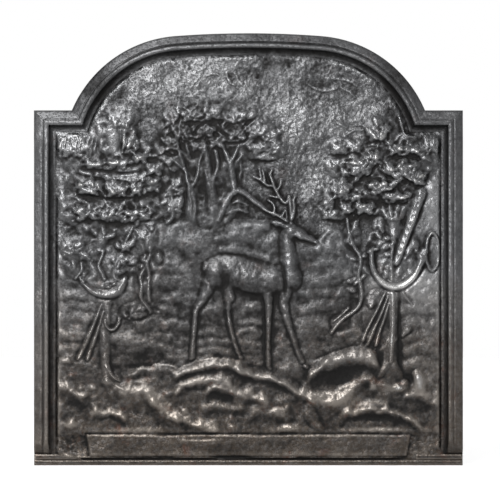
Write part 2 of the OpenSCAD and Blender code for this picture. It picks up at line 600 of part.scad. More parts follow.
module right_crown_form() {
    for (bough = [[158, 424, 34, 26], [180, 458, 26, 20], [214, 414, 34, 28], [130, 388, 22, 24],
                  [186, 384, 38, 20], [132, 440, 22, 18], [122, 358, 20, 14], [165, 360, 18, 14]])
        bed([bough.x, bough.y], [bough[2], bough[3]]);
    spray([182, 458], 55, 145, 4, 1.1, 0.9);
    spray([184, 455], -10, 40, 3, 1, 0.8);
    spray([162, 422], 60, 190, 5, 1.15, 0.95);
    spray([164, 418], 215, 300, 3, 0.95, 0.75);
    spray([212, 412], 60, 190, 5, 1.1, 0.95);
    spray([218, 408], -75, 40, 4, 1.1, 0.9);
    spray([216, 436], 0, 160, 5, 0.95, 0.75);
    spray([196, 446], 40, 130, 3, 0.8, 0.7);
    spray([136, 442], 20, 200, 5, 0.95, 0.7);
    spray([130, 386], 30, 210, 5, 0.9, 0.75);
    spray([132, 380], 220, 330, 3, 0.8, 0.65);
    spray([184, 388], 10, 170, 5, 1.05, 0.85);
    spray([206, 374], 10, 170, 5, 0.95, 0.7);
    spray([150, 374], 0, 120, 3, 0.85, 0.65);
    spray([124, 354], 20, 220, 5, 0.85, 0.65);
    spray([164, 356], 20, 170, 5, 0.9, 0.7);
}

module right_horn_form() {
    horn([[172, 308, 0.45], [171, 292, 0.6], [174, 276, 0.75], [182, 260, 0.9], [195, 251, 1], [210, 250, 1.1],
          [223, 257, 1.2], [233, 270, 1.3], [240, 286, 1.5], [243, 298, 1.8]],
         [[173, 280, 20], [179, 264, 45], [191, 253, 70], [206, 250, 92], [221, 256, 125], [231, 267, 145],
          [238, 281, 155], [242, 293, 165]]);
    // bell of the horn, seen from the side
    difference() {
        mass([257, 300], [11, 27], 0, 0.7);
        translate([257, 300, 0.25]) scale([6, 20, 1]) cylinder(h = 1, r = 1, $fn = 14);
    }
}

module right_baton_form() {
    foot = [208, 288];
    head = [243, 388];
    dir = (head - foot) / norm(head - foot);
    limb([[foot.x, foot.y, 0.4 * baton, 0.8], [head.x, head.y, 0.5 * baton, 0.85]]);
    for (d = [pitch / 2 : pitch : norm(head - foot)])
        mass(foot + d * dir, [3, 3], 0, 0.98, 6);
}

module right_quiver_form() {
    // funnel-mouthed quiver hung by its shaft
    limb([[203, 316, 5, 0.8], [203, 332, 7, 0.8], [203, 348, 12, 0.75]]);
    leaf([190, 345], 0, [28, 7], 0.95);
    leaf([194, 318], 0, [20, 6], 0.85);
    twig([200, 258, shaft / 2, 0.75], [201, 316, shaft / 2, 0.75]);
    for (feather = [[195, 347, 108], [200, 348, 98], [206, 348, 82], [212, 347, 70]])
        leaf([feather.x, feather.y], feather.z, [16, 6], 0.8);
    leaf([184, 330], -60, [26, 9], 0.7);
    leaf([182, 276], 100, [18, 9], 0.5);
    leaf([188, 262], 75, [20, 8], 0.5);
}

module right_arrows_form() {
    half = shaft / 2;
    for (arrow = [[190, 240, 162, 170], [194, 236, 171, 172], [192, 222, 181, 172]]) {
        nock = [arrow[0], arrow[1]];
        tip = [arrow[2], arrow[3]];
        flight = (tip - nock) / norm(tip - nock);
        twig([nock.x, nock.y, half, 0.7], [tip.x, tip.y, half, 0.6]);
        leaf(tip - 3 * flight, atan2(flight.y, flight.x), [16, 6], 0.75);
    }
    twig([216, 243, half, 0.7], [227, 226, half, 0.6]);
    leaf([225, 230], -55, [13, 8], 0.75);
    leaf([171, 236], -85, [24, 9], 0.45);
}

module sapling_form() {
    stem([[140, 346, 2.5, 0.5], [142, 326, 3, 0.5], [149, 306, 3, 0.5], [154, 285, 3.5, 0.5], [152, 262, 3.5, 0.55],
          [157, 240, 3.5, 0.55], [154, 222, 3.5, 0.6], [140, 210, 3.5, 0.6], [126, 198, 4, 0.6],
          [118, 188, 4, 0.55]]);
    stem([[138, 218, 2, 0.45], [122, 206, 2, 0.45]]);
    twig([150, 254, 2.5, 0.55], [162, 264, 2, 0.5]);
}

// ---------- figures set on the field, each cut to fit those in front of it ----------

module iron(shade) {
    color(shade) picture() children();
}

module ground_left() {
    iron("#3b3833") ground_left_form();
}

module ground_centre() {
    iron("#3d3a36") ground_centre_form();
}

module ground_right() {
    iron("#3b3833") ground_right_form();
}

module far_bank_left() {
    iron("#403f3e") difference() {
        far_bank_left_form();
        stag_form();
        left_trunk_form();
        left_spears_form();
        ground_left_form();
    }
}

module far_bank_right() {
    iron("#403f3e") difference() {
        far_bank_right_form();
        right_trunk_form();
        right_arrows_form();
        right_horn_form();
        sapling_form();
        stag_form();
    }
}

module stag() {
    iron("#4a4a4c") difference() {
        stag_form();
        antlers_form();
        ground_centre_form();
        ground_right_form();
    }
}

module antlers() {
    iron("#505052") antlers_form();
}

module back_trunks() {
    iron("#424244") difference() {
        back_trunks_form();
        antlers_form();
        left_crown_form();
    }
}

module back_foliage() {
    iron("#464648") difference() {
        back_foliage_form();
        back_trunks_form();
        antlers_form();
        left_crown_form();
    }
}

module left_trunk() {
    iron("#3f3d3b") difference() {
        left_trunk_form();
        left_crown_form();
        left_horn_form();
        left_spears_form();
        left_quiver_form();
        ground_left_form();
    }
}

module left_crown() {
    iron("#48484a") left_crown_form();
}

module left_horn() {
    iron("#474645") difference() {
        left_horn_form();
        left_quiver_form();
    }
}

module left_spears() {
    iron("#474645") difference() {
        left_spears_form();
        left_horn_form();
    }
}

module left_ribbon() {
    iron("#454443") difference() {
        left_ribbon_form();
        left_crown_form();
        left_quiver_form();
    }
}

module left_quiver() {
    iron("#454443") difference() {
        left_quiver_form();
        left_crown_form();
    }
}

module right_trunk() {
    iron("#3f3d3b") difference() {
        right_trunk_form();
        right_crown_form();
        right_horn_form();
        right_quiver_form();
        right_baton_form();
        right_arrows_form();
        ground_right_form();
    }
}

module right_crown() {
    iron("#48484a") difference() {
        right_crown_form();
        right_baton_form();
    }
}

module right_horn() {
    iron("#4c4c4d") right_horn_form();
}

module right_baton() {
    iron("#4c4c4d") difference() {
        right_baton_form();
        right_horn_form();
    }
}

module right_quiver() {
    iron("#4a4a4b") difference() {
        right_quiver_form();
        right_crown_form();
        right_baton_form();
        right_horn_form();
    }
}

module right_arrows() {
    iron("#464544") difference() {
        right_arrows_form();
        right_horn_form();
        ground_right_form();
    }
}

module sapling() {
    iron("#434241") difference() {
        sapling_form();
        right_crown_form();
        ground_right_form();
    }
}

backplate();
mirror([1, 0, 0]) stile();  // stile_left
stile();  // stile_right
mirror([1, 0, 0]) shoulder();  // shoulder_left
shoulder();  // shoulder_right
mirror([1, 0, 0]) haunch();  // haunch_left
haunch();  // haunch_right
arch_crown();
foot_rail();
corner_pads();
tablet();
ground_left();
ground_centre();
ground_right();
far_bank_left();
far_bank_right();
stag();
antlers();
back_trunks();
back_foliage();
left_trunk();
left_crown();
left_horn();
left_spears();
left_ribbon();
left_quiver();
right_trunk();
right_crown();
right_horn();
right_baton();
right_quiver();
right_arrows();
sapling();
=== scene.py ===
import math

import bpy
import numpy as np
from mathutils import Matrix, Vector
from mathutils.geometry import delaunay_2d_cdt


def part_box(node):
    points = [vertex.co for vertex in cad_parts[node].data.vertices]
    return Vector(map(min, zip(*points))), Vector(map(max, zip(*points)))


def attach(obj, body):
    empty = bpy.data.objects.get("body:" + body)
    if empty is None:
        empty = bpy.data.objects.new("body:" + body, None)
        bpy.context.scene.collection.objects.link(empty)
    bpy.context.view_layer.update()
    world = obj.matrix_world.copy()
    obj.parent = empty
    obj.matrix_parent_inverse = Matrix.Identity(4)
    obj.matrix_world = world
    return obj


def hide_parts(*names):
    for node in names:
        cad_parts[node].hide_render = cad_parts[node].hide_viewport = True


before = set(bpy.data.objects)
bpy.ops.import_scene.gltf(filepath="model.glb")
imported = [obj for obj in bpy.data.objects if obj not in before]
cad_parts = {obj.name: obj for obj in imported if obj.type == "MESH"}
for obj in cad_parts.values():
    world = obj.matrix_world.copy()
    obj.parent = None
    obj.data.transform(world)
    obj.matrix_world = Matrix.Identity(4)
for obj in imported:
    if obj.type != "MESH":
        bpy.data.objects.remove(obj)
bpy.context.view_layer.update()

mm = 0.001  # the relief is drawn in millimetres: x to the right, z up from the foot, height out of the field

plateLow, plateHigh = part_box("backplate")
plate = dict(
    halfWidth=plateHigh.x / mm,
    top=plateHigh.z / mm,
    fieldY=plateLow.y / mm,  # face of the plate behind the picture
    backY=plateHigh.y / mm,
    shoulder=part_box("shoulder_left")[1].z / mm,
    footEnd=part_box("stile_left")[0].z / mm,  # where the stiles die out
    haunchRadius=171,
    crownRadius=1320,
    shoulderWidth=53,
    recess=2,  # how deep the carved pieces are let into the plate
    backBevel=1.5,
)
border = dict(
    width=30,
    rim=10.6, rimEdge=9.2, rimHeight=11.2,  # flat outer band, which rises a little inwards
    groove=2.6, grooveDepth=0.7,
    bead=7.4, crest=14,
    cove=9.2, lip=1,
)
sheet = dict(step=1.2, under=2)  # pitch of the carved surface, and how far it runs in under the border

# three-centred arch, worked out as the pattern maker sets it out
springX = plate["halfWidth"] - plate["shoulderWidth"]
crownZ = plate["top"] - plate["crownRadius"]
spanX, spanZ = springX, plate["shoulder"] - crownZ
span = math.hypot(spanX, spanZ)
arcGap = plate["crownRadius"] - plate["haunchRadius"]
along = (arcGap ** 2 - plate["haunchRadius"] ** 2 + span ** 2) / (2 * span)
aside = math.sqrt(arcGap ** 2 - along ** 2)
haunchX = (along * spanX - aside * spanZ) / span
haunchZ = crownZ + (along * spanZ + aside * spanX) / span
joinAngle = math.atan2(haunchX, haunchZ - crownZ)
springAngle = math.atan2(plate["shoulder"] - haunchZ, springX - haunchX)
innerLevel = plate["shoulder"] - border["width"]
innerRadius = plate["haunchRadius"] - border["width"]
innerSpringX = haunchX + math.sqrt(innerRadius ** 2 - (innerLevel - haunchZ) ** 2)
innerSpringAngle = math.atan2(innerLevel - haunchZ, innerSpringX - haunchX)
innerSide = plate["halfWidth"] - border["width"]

# the carved sheet
xs = np.arange(-plate["halfWidth"], plate["halfWidth"] + 0.1, sheet["step"])
zs = np.arange(0, plate["top"] + sheet["step"], sheet["step"])
gx, gz = np.meshgrid(xs, zs)
rowCount, colCount = gx.shape


def blurAlong(field, sigma, axis):
    reach = int(3 * sigma / sheet["step"]) + 1
    weights = np.exp(-(np.arange(-reach, reach + 1) * sheet["step"]) ** 2 / (2 * sigma ** 2))
    weights /= weights.sum()
    padded = np.pad(field, [(reach, reach) if axis == k else (0, 0) for k in (0, 1)], mode="edge")
    size = field.shape[axis]
    total = np.zeros(field.shape)
    for i, weight in enumerate(weights):
        total += weight * (padded[i:i + size] if axis == 0 else padded[:, i:i + size])
    return total


def blur(field, sigma, sigmaX=None):
    return blurAlong(blurAlong(field, sigma, 0), sigmaX or sigma, 1)


def noiseSheet(seed, sigma, sigmaX=None):
    field = blur(np.random.default_rng(seed).standard_normal(gx.shape), sigma, sigmaX)
    return field / field.std()


def noiseMix(*sheets):
    # several noises added up, each given as its share, its seed and its size
    return sum(share * noiseSheet(*one) for share, *one in sheets)


def smoothStep(low, high, value):
    t = np.clip((value - low) / (high - low), 0, 1)
    return t * t * (3 - 2 * t)


def insideDepth():
    # distance in from the inner edge of the border, positive over the picture
    ax = np.abs(gx)
    toSide = innerSide - ax
    low = np.minimum(toSide, innerLevel - gz)
    fromCrown = np.hypot(gx, gz - crownZ)
    arch = np.where(np.arctan2(ax, gz - crownZ) < joinAngle,
                    plate["crownRadius"] - border["width"] - fromCrown,
                    innerRadius - np.hypot(ax - haunchX, gz - haunchZ))
    return np.where(gz < haunchZ, toSide, np.maximum(low, arch))


def windowAt(x0, x1, z0, z1):
    c0, c1 = np.searchsorted(xs, [x0, x1])
    r0, r1 = np.searchsorted(zs, [z0, z1])
    return slice(max(r0 - 1, 0), r1 + 1), slice(max(c0 - 1, 0), c1 + 1)


def windowRound(x, z, reach):
    return windowAt(x - reach, x + reach, z - reach, z + reach)


def turnedFrom(win, x, z, turn):
    # distance along and across a line that leaves (x, z) at an angle in degrees
    c, s = math.cos(math.radians(turn)), math.sin(math.radians(turn))
    px, pz = gx[win] - x, gz[win] - z
    return px * c + pz * s, pz * c - px * s


def curveThrough(points, pieces=5):
    # smooth run through stations of any length, each a tuple of equal size
    p = np.array(points, float)
    if len(p) < 3:
        return p
    ends = np.vstack([2 * p[0] - p[1], p, 2 * p[-1] - p[-2]])
    run = []
    for a, b, c, d in zip(ends, ends[1:], ends[2:], ends[3:]):
        for t in np.arange(pieces) / pieces:
            run.append(b + 0.5 * t * (c - a + t * (2 * a - 5 * b + 4 * c - d + t * (3 * (b - c) + d - a))))
    return np.array(run + [p[-1]])


def barShape(stations, roundness=0.6):
    # rounded bar through (x, z, half width, height): its window and its height there
    run = curveThrough(stations)
    reach = run[:, 2].max() + 1
    win = windowAt(run[:, 0].min() - reach, run[:, 0].max() + reach,
                   run[:, 1].min() - reach, run[:, 1].max() + reach)
    px, pz = gx[win], gz[win]
    bar = np.zeros_like(px)
    for a, b in zip(run, run[1:]):
        dx, dz = b[0] - a[0], b[1] - a[1]
        t = np.clip(((px - a[0]) * dx + (pz - a[1]) * dz) / max(dx * dx + dz * dz, 1e-6), 0, 1)
        half = np.maximum(a[2] + (b[2] - a[2]) * t, 0.1)
        u, v = (px - a[0] - t * dx) / half, (pz - a[1] - t * dz) / half
        high = (a[3] + (b[3] - a[3]) * t) * (1 + 0.1 * u - 0.25 * v)  # a little higher on its lower side
        bar = np.maximum(bar, high * np.clip(1 - u * u - v * v, 0, 1) ** roundness)
    return win, bar


def merge(layer, win, form, blend):
    # the higher of the two, flowing into each other over the blend
    old = layer[win]
    top = np.maximum(old, form)
    if blend:
        near = np.clip(blend - np.abs(old - form), 0, None) ** 2 / (4 * blend)
        top = top + near * np.clip(np.minimum(old, form) / blend, 0, 1)
    layer[win] = top


def dome(layer, x, z, rx, rz, turn, high, roundness=0.6, blend=0.0):
    win = windowRound(x, z, max(rx, rz) + 1)
    u, v = turnedFrom(win, x, z, turn)
    form = high * np.clip(1 - (u / rx) ** 2 - (v / rz) ** 2, 0, 1) ** roundness
    merge(layer, win, form, blend)


def lineShape(width, high, points):
    # a line that thins out at both ends
    last = len(points) - 1
    return barShape([(x, z, width * (0.55 if i in (0, last) else 1), high * (0.6 if i in (0, last) else 1))
                     for i, (x, z) in enumerate(points)])


def addLine(layer, width, high, points):
    win, bar = lineShape(width, high, points)
    layer[win] += bar


leafShape = dict(fullness=0.6, lobes=3, lobeDepth=0.12, ribDepth=0.12, ribWidth=0.9, droop=0.17)


def leaf(layer, bed, x, z, turn, length, width, high):
    # lobed leaf from its stalk end, with a sunk midrib; it covers the leaves laid before it
    middleX = x + math.cos(math.radians(turn)) * length / 2
    middleZ = z + math.sin(math.radians(turn)) * length / 2
    win = windowRound(middleX, middleZ, 0.5 * length + 0.6 * width)
    u, v = turnedFrom(win, x, z, turn)
    u, v = u / length, np.abs(v)
    lobing = 0.9 + leafShape["lobeDepth"] * np.cos(2 * math.pi * (leafShape["lobes"] * u - 0.1))
    half = leafShape["fullness"] * width * np.clip(4 * u * (1 - u), 0, 1) ** 0.5 * lobing
    pad = np.clip(1 - (v / np.maximum(half, 0.2)) ** 2, 0, 1) ** 0.5
    rib = leafShape["ribDepth"] * np.exp(-(v / leafShape["ribWidth"]) ** 2) * (u < 0.85)
    form = pad * (high * (0.75 + 0.2 * u - rib) + leafShape["droop"] * (middleZ - gz[win]))
    layer[win] = np.where(pad > 0, np.maximum(bed[win] + form, 0.5 * layer[win]), layer[win])


boughShape = dict(edge=0.96, edgeLobe=0.13, sag=0.42, rings=[1.0, 0.6], fan=280, leafReach=1.06,
                  leafLength=18, leafWidth=0.66)


def bough(layer, x, z, rx, rz, high):
    # domed clump with a lobed edge, covered with leaves that spread from its stalk
    win = windowRound(x, z, 1.15 * max(rx, rz) + 1)
    u = (gx[win] - x) / rx
    v = (gz[win] - z) / rz
    around = max(int((rx + rz) / 6), 4)
    edge = boughShape["edge"] + boughShape["edgeLobe"] * np.sin((around + 1) * np.arctan2(v, u) + x)
    clump = high * np.clip(1 - (u * u + v * v) / edge ** 2, 0, 1) ** 0.6 * (0.8 - boughShape["sag"] * v)
    layer[win] = np.where(clump > 0, np.maximum(0.4 * layer[win], 0.3) + clump, layer[win])
    bed = layer.copy()
    stalkZ = z - 0.35 * rz
    for ring, share in enumerate(boughShape["rings"]):
        for i in range(around):
            turn = boughShape["fan"] * (i + 0.5 * ring) / (around - 1) - 50 + 9 * math.sin(3.1 * i + x)
            tipX = x + boughShape["leafReach"] * share * rx * math.cos(math.radians(turn))
            tipZ = z + boughShape["leafReach"] * share * rz * math.sin(math.radians(turn))
            away = math.atan2(tipZ - stalkZ, tipX - x)
            size = min(boughShape["leafLength"], math.hypot(tipX - x, tipZ - stalkZ))
            size *= 0.92 + 0.12 * math.sin(5 * i + z)
            leaf(layer, bed, tipX - size * math.cos(away), tipZ - size * math.sin(away),
                 math.degrees(away), size, boughShape["leafWidth"] * size, 0.5 * high + 0.9)


leafLumps = noiseMix((1, 14, 2.6), (0.6, 15, 5))


def carve(form):
    # one carved figure from its dictionary of forms, low ones first
    layer = np.zeros_like(gx)
    blend = form.get("blend", 0)
    for x, z, rx, rz, high in form.get("beds", []):
        dome(layer, x, z, rx, rz, 0, high, 0.4)
    if form.get("leafy"):
        layer *= np.clip(1 + form["leafy"] * leafLumps, 0.2, 2.2)
    layer = np.where(layer > 0, np.maximum(blur(layer, 1.2), 0.4), 0)
    for one in form.get("boughs", []):
        bough(layer, *one)
    for stations in form.get("limbs", []):
        merge(layer, *barShape(stations, form.get("round", 0.6)), blend)
    for one in form.get("domes", []):
        dome(layer, *one, blend=blend)
    bed = 0.85 * layer
    for one in form.get("leaves", []):
        leaf(layer, bed, *one)
    bed = 0.75 * layer
    for width, high, *points in form.get("lines", []):
        win, bar = lineShape(width, high, points)
        layer[win] = np.maximum(layer[win], np.where(bar > 0, bed[win] + bar, 0))
    for width, deep, *points in form.get("cuts", []):
        win, bar = lineShape(width, deep, points)
        layer[win] = np.where(layer[win] > 0, np.maximum(layer[win] - bar, 0.3), 0)
    return layer


depthIn = insideDepth()
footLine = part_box("foot_rail")[1].z / mm
picture = (depthIn > -sheet["under"]) & (gz > footLine)
height = np.zeros_like(gx)
label = np.zeros(gx.shape, int)  # which node each point of the sheet belongs to
nodeNames = ["backplate"]


def lay(name, layer, trench=0.35, spread=2.4, lift=0.25, melt=False):
    # sets a carved figure over what is behind it, which sinks beside its edge; a figure that melts
    # never lies lower than what it stands in
    global height
    nodeNames.append(name)
    solid = (layer > 0.25) & picture
    halo = np.clip(1.9 * blur(solid.astype(float), spread), 0, 1)
    if melt:
        halo *= smoothStep(0.8, 3.0, blur(layer, 3.0))
    behind = height * (1 - trench * halo)
    top = layer + lift * blur(height, 3.0)
    height = np.where(solid, np.maximum(top, 0.97 * height) if melt else top, behind)
    label[solid] = len(nodeNames) - 1


print("sheet", gx.shape)

# In every figure below: beds are (x, z, half width, half height, rise), boughs the same, limbs run through
# (x, z, half width, height), domes are (x, z, half width, half height, turn, height), leaves are
# (x, z of the stalk, turn, length, width, height), lines and cuts are (half width, height or depth, points).

# the land far off, behind the stag
farTop = dict(  # skyline of the far land (x, z)
    left=[(-272, 292), (-236, 330), (-150, 338), (-112, 344), (-60, 346), (30, 344), (60, 330)],
    right=[(28, 338), (44, 330), (84, 318), (98, 322), (112, 336), (128, 334), (142, 312), (160, 306),
           (200, 330), (240, 402), (272, 404)])
farRidges = dict(
    left=[(5, 2.2, (-128, 290), (-116, 292), (-100, 288)), (5, 2, (-134, 279), (-118, 281), (-92, 277)),
          (5, 2.4, (-128, 257), (-108, 258), (-84, 254)), (6, 2.2, (-112, 233), (-96, 236), (-78, 232)),
          (5, 2.4, (-190, 178), (-160, 176), (-114, 180)), (5, 2.4, (-178, 165), (-150, 168), (-112, 163)),
          (4, 2, (-186, 146), (-160, 147), (-122, 142)), (3.4, 2.4, (-268, 276), (-264, 270), (-256, 268)),
          (4, 2.8, (-264, 187), (-252, 180), (-232, 181)), (5, 2.4, (-266, 207), (-244, 210), (-220, 205)),
          (4, 2.2, (-262, 236), (-246, 241), (-232, 236)), (3, 1.8, (-66, 186), (-52, 188), (-38, 184)),
          (3, 1.8, (-66, 172), (-50, 175), (-32, 171)), (3, 1.8, (-68, 160), (-46, 162), (-26, 158)),
          (5, 2.4, (-14, 212), (0, 220), (12, 222)), (3, 1.8, (-10, 200), (6, 202), (18, 199)),
          (3, 1.8, (-10, 188), (6, 190), (18, 187)), (3, 1.8, (-8, 172), (6, 170), (18, 168)),
          (5, 2, (-118, 196), (-104, 198), (-88, 194)), (6, 2.2, (-112, 314), (-90, 318), (-64, 312)),
          (3.4, 2.8, (-38, 303), (-10, 300), (14, 295), (36, 288)),
          (4, 2.2, (-52, 318), (-20, 322), (4, 316)), (4, 2.4, (-2, 338), (10, 339), (24, 334)),
          (5, 2, (14, 326), (20, 318), (24, 308)), (4, 2.2, (-78, 318), (-76, 308), (-72, 304)),
          (4, 2, (-62, 216), (-52, 220), (-40, 216)), (4, 2, (-264, 162), (-248, 166), (-234, 162)),
          (5, 2, (-150, 196), (-134, 199), (-118, 196)), (4, 1.8, (-134, 218), (-118, 220), (-104, 216)),
          (4, 2, (-180, 154), (-150, 157), (-128, 152)), (4, 1.8, (-260, 222), (-244, 225), (-228, 221)),
          (5, 1.6, (-108, 300), (-94, 303), (-78, 298))],
    right=[(3.4, 2.4, (98, 302), (103, 322), (114, 332), (126, 331), (135, 318), (140, 300)),
           (5, 2.8, (76, 218), (96, 222), (116, 226)), (5, 2.6, (88, 256), (104, 258), (124, 262)),
           (5, 2.6, (112, 268), (124, 271), (144, 266)), (7, 2.8, (76, 194), (92, 200), (106, 196)),
           (4, 2, (84, 240), (100, 243), (124, 240)), (4, 2.2, (222, 268), (240, 272), (264, 266)),
           (5, 2.8, (224, 256), (244, 260), (266, 252)), (5, 2.2, (216, 218), (236, 222), (264, 216)),
           (5, 2.2, (226, 198), (246, 201), (266, 195)), (5, 2, (226, 180), (246, 184), (266, 179)),
           (5, 2, (222, 160), (240, 163), (264, 158)), (6, 2.2, (104, 304), (118, 308), (128, 303)),
           (6, 2.2, (84, 296), (96, 298), (112, 290)), (5, 1.8, (222, 142), (240, 146), (264, 140)),
           (9, 1.6, (250, 345), (258, 372), (264, 398)), (5, 2.6, (238, 236), (252, 240), (266, 234)),
           (5, 1.8, (130, 186), (146, 189), (160, 184)), (5, 1.8, (120, 170), (140, 173), (158, 169)),
           (5, 2.2, (34, 190), (40, 194), (48, 188)), (6, 2.2, (36, 158), (46, 160), (58, 152)),
           (4, 1.8, (86, 182), (98, 184), (110, 180)), (5, 1.8, (166, 236), (176, 240), (184, 236)),
           (6, 2, (100, 282), (112, 286), (128, 282)), (5, 2, (34, 176), (44, 178), (52, 172))])
farWaves = noiseMix((0.9, 51, 3.4, 11), (0.55, 52, 2.0, 4.5))
farLumps = noiseMix((0.5, 53, 9, 16), (0.42, 54, 5), (0.16, 55, 2.8))
farForm = dict(base=1.6, waves=0.12, lumps=0.55, ridgeWidth=2.0, ridgeHeight=0.45, foot=95)


def farLand(side):
    # rolling ground that runs level, its ridges lying on it
    top = np.interp(gx, *np.array(farTop[side]).T, left=0, right=0)
    between = smoothStep(-205, -180, gx) * smoothStep(175, 140, gx)  # the waves keep clear of the two trees
    bed = farForm["base"] + farForm["waves"] * farWaves * between + farForm["lumps"] * farLumps
    for width, high, *points in farRidges[side]:
        stations = [(x, z, farForm["ridgeWidth"] * width, farForm["ridgeHeight"] * high) for x, z in points]
        win, bar = barShape(stations, 1.6)
        bed[win] += bar
    return np.where(top > gz, np.maximum(bed * smoothStep(0, 9, top - gz), 0.35), 0) * (gz > farForm["foot"])


# wood behind the stag
backWood = dict(
    leafy=0.42,
    beds=[(-84, 476, 46, 32, 1.9), (-40, 472, 46, 34, 1.9), (0, 462, 40, 34, 1.7), (24, 446, 32, 20, 1.5),
          (-110, 430, 28, 34, 1.6), (-62, 430, 60, 30, 1.5), (-106, 376, 18, 36, 2),
          (-52, 386, 44, 56, 1.4)],
    boughs=[(-108, 488, 15, 14, 2), (-78, 492, 18, 12, 2.2), (-50, 494, 16, 11, 2), (-20, 488, 20, 14, 2.2),
            (-92, 470, 18, 13, 2.4), (-62, 470, 18, 13, 2.2), (-18, 468, 20, 13, 2.6),
            (12, 470, 17, 13, 2.2), (30, 458, 16, 9, 2), (-108, 452, 15, 12, 2.2), (-44, 454, 16, 10, 2.2),
            (20, 445, 24, 8, 2.8), (-118, 424, 12, 14, 2.2), (-106, 394, 13, 13, 2.4),
            (-104, 366, 13, 13, 2.6), (-70, 448, 16, 8, 2)],
    leaves=[(-98, 492, 84, 18, 10, 2), (-62, 494, 70, 16, 9, 2), (8, 434, -8, 30, 9, 2.4),
            (6, 446, 10, 26, 9, 2.8), (24, 450, 4, 22, 9, 2.6), (-96, 458, 130, 16, 8, 2.2),
            (0, 486, 50, 17, 9, 2.2), (32, 466, 10, 16, 9, 2), (-112, 384, 250, 18, 9, 2.4),
            (-98, 360, 70, 18, 9, 2.4), (-110, 402, 110, 17, 9, 2.2)],
    lines=[(1.6, 1.8, (-105, 500), (-94, 503), (-80, 497), (-70, 507)),
           (1.5, 1.8, (-60, 478), (-48, 470), (-39, 463), (-46, 455), (-58, 448)),
           (1.6, 2, (-22, 487), (-10, 480), (-3, 474), (4, 479), (14, 486)),
           (1.7, 2.2, (5, 445), (15, 443), (25, 448), (42, 442)),
           (1.6, 2.2, (-92, 492), (-97, 472), (-92, 458), (-80, 454)),
           (1.5, 2, (-87, 452), (-85, 440), (-80, 430)),
           (1.5, 2, (-78, 498), (-84, 488), (-76, 483), (-66, 486)),
           (1.6, 2, (-96, 474), (-88, 462), (-82, 452)), (1.5, 1.8, (4, 430), (16, 431), (28, 437)),
           (1.4, 1.8, (-118, 345), (-110, 340), (-106, 358), (-112, 378)),
           (1.5, 1.8, (-36, 470), (-28, 478), (-18, 480))],
    cuts=[(1.8, 2.2, (-40, 452), (-20, 451), (-4, 455), (0, 470)),
          (1.6, 2, (-104, 508), (-90, 512), (-70, 514)), (1.6, 2, (-58, 480), (-70, 474), (-78, 462)),
          (1.6, 2, (-118, 438), (-104, 434), (-92, 446)), (1.5, 1.8, (-34, 486), (-40, 478), (-34, 468))])
backTrunks = dict(
    blend=1.2,
    limbs=[[(-82, 336, 11, 0.8), (-81, 344, 9, 2.2), (-80, 360, 8, 3.2), (-80, 380, 6.4, 3.6),
            (-81, 392, 5, 3.8)],
           [(-81, 390, 3.2, 4), (-86, 400, 2.6, 3.8), (-88, 412, 2.4, 3.6), (-94, 430, 3, 3.2),
            (-99, 448, 2.6, 3), (-100, 470, 2, 2.6)],
           [(-80, 390, 3.2, 4), (-75, 397, 2.6, 3.8), (-71, 410, 2.4, 3.6), (-68, 428, 3, 3.2),
            (-60, 448, 2.6, 3)],
           [(-45, 339, 12, 0.8), (-46, 347, 10, 2), (-48, 360, 9, 3), (-52, 385, 8, 3.4),
            (-56, 410, 6.4, 3.4), (-60, 436, 5, 3), (-64, 455, 3, 2.4)],
           [(-50, 400, 3.6, 3.2), (-43, 420, 3.4, 3.2), (-46, 440, 3, 3)],
           [(-42, 345, 5, 2.8), (-32, 368, 5, 3.4), (-20, 384, 5, 3.8), (-8, 383, 4.4, 3.8),
            (6, 372, 4, 3.6), (22, 360, 3.4, 3.4), (36, 350, 2.4, 3)],
           [(-20, 382, 5, 3.8), (-22, 402, 5.4, 3.8), (-26, 424, 4.8, 3.8), (-33, 440, 3, 3.4),
            (-38, 452, 2, 2.8)],
           [(-26, 422, 3.6, 3.6), (-20, 434, 3, 3.4), (-14, 448, 2.2, 3)],
           [(-16, 426, 2, 3), (-8, 436, 1.8, 3)],
           [(-114, 398, 4, 2.8), (-108, 375, 3.6, 3), (-106, 350, 3.6, 3), (-114, 340, 3, 2.8)],
           [(-122, 458, 1.8, 2.6), (-110, 446, 2.4, 3), (-96, 441, 2.4, 3), (-86, 434, 2, 2.6)],
           [(-108, 430, 2, 2.6), (-98, 422, 2.4, 3), (-89, 413, 2.2, 2.8)]],
    lines=[(1.6, 1.6, (-62, 420), (-58, 402), (-53, 386), (-50, 362)),
           (1.5, 1.6, (-45, 408), (-50, 388), (-44, 362)),
           (1.8, 2, (-84, 388), (-83, 378), (-80, 366), (-82, 344)),
           (1.6, 2, (-102, 425), (-97, 421), (-92, 417)), (1.8, 2, (-32, 352), (-14, 358), (0, 354)),
           (1.8, 2, (-28, 364), (-14, 370), (0, 364)), (1.5, 1.8, (-76, 342), (-74, 360), (-76, 380)),
           (1.5, 1.6, (-64, 345), (-62, 366), (-60, 384)), (1.5, 1.6, (-36, 388), (-34, 404), (-38, 420)),
           (1.6, 1.8, (-12, 400), (-10, 416), (-12, 430))])

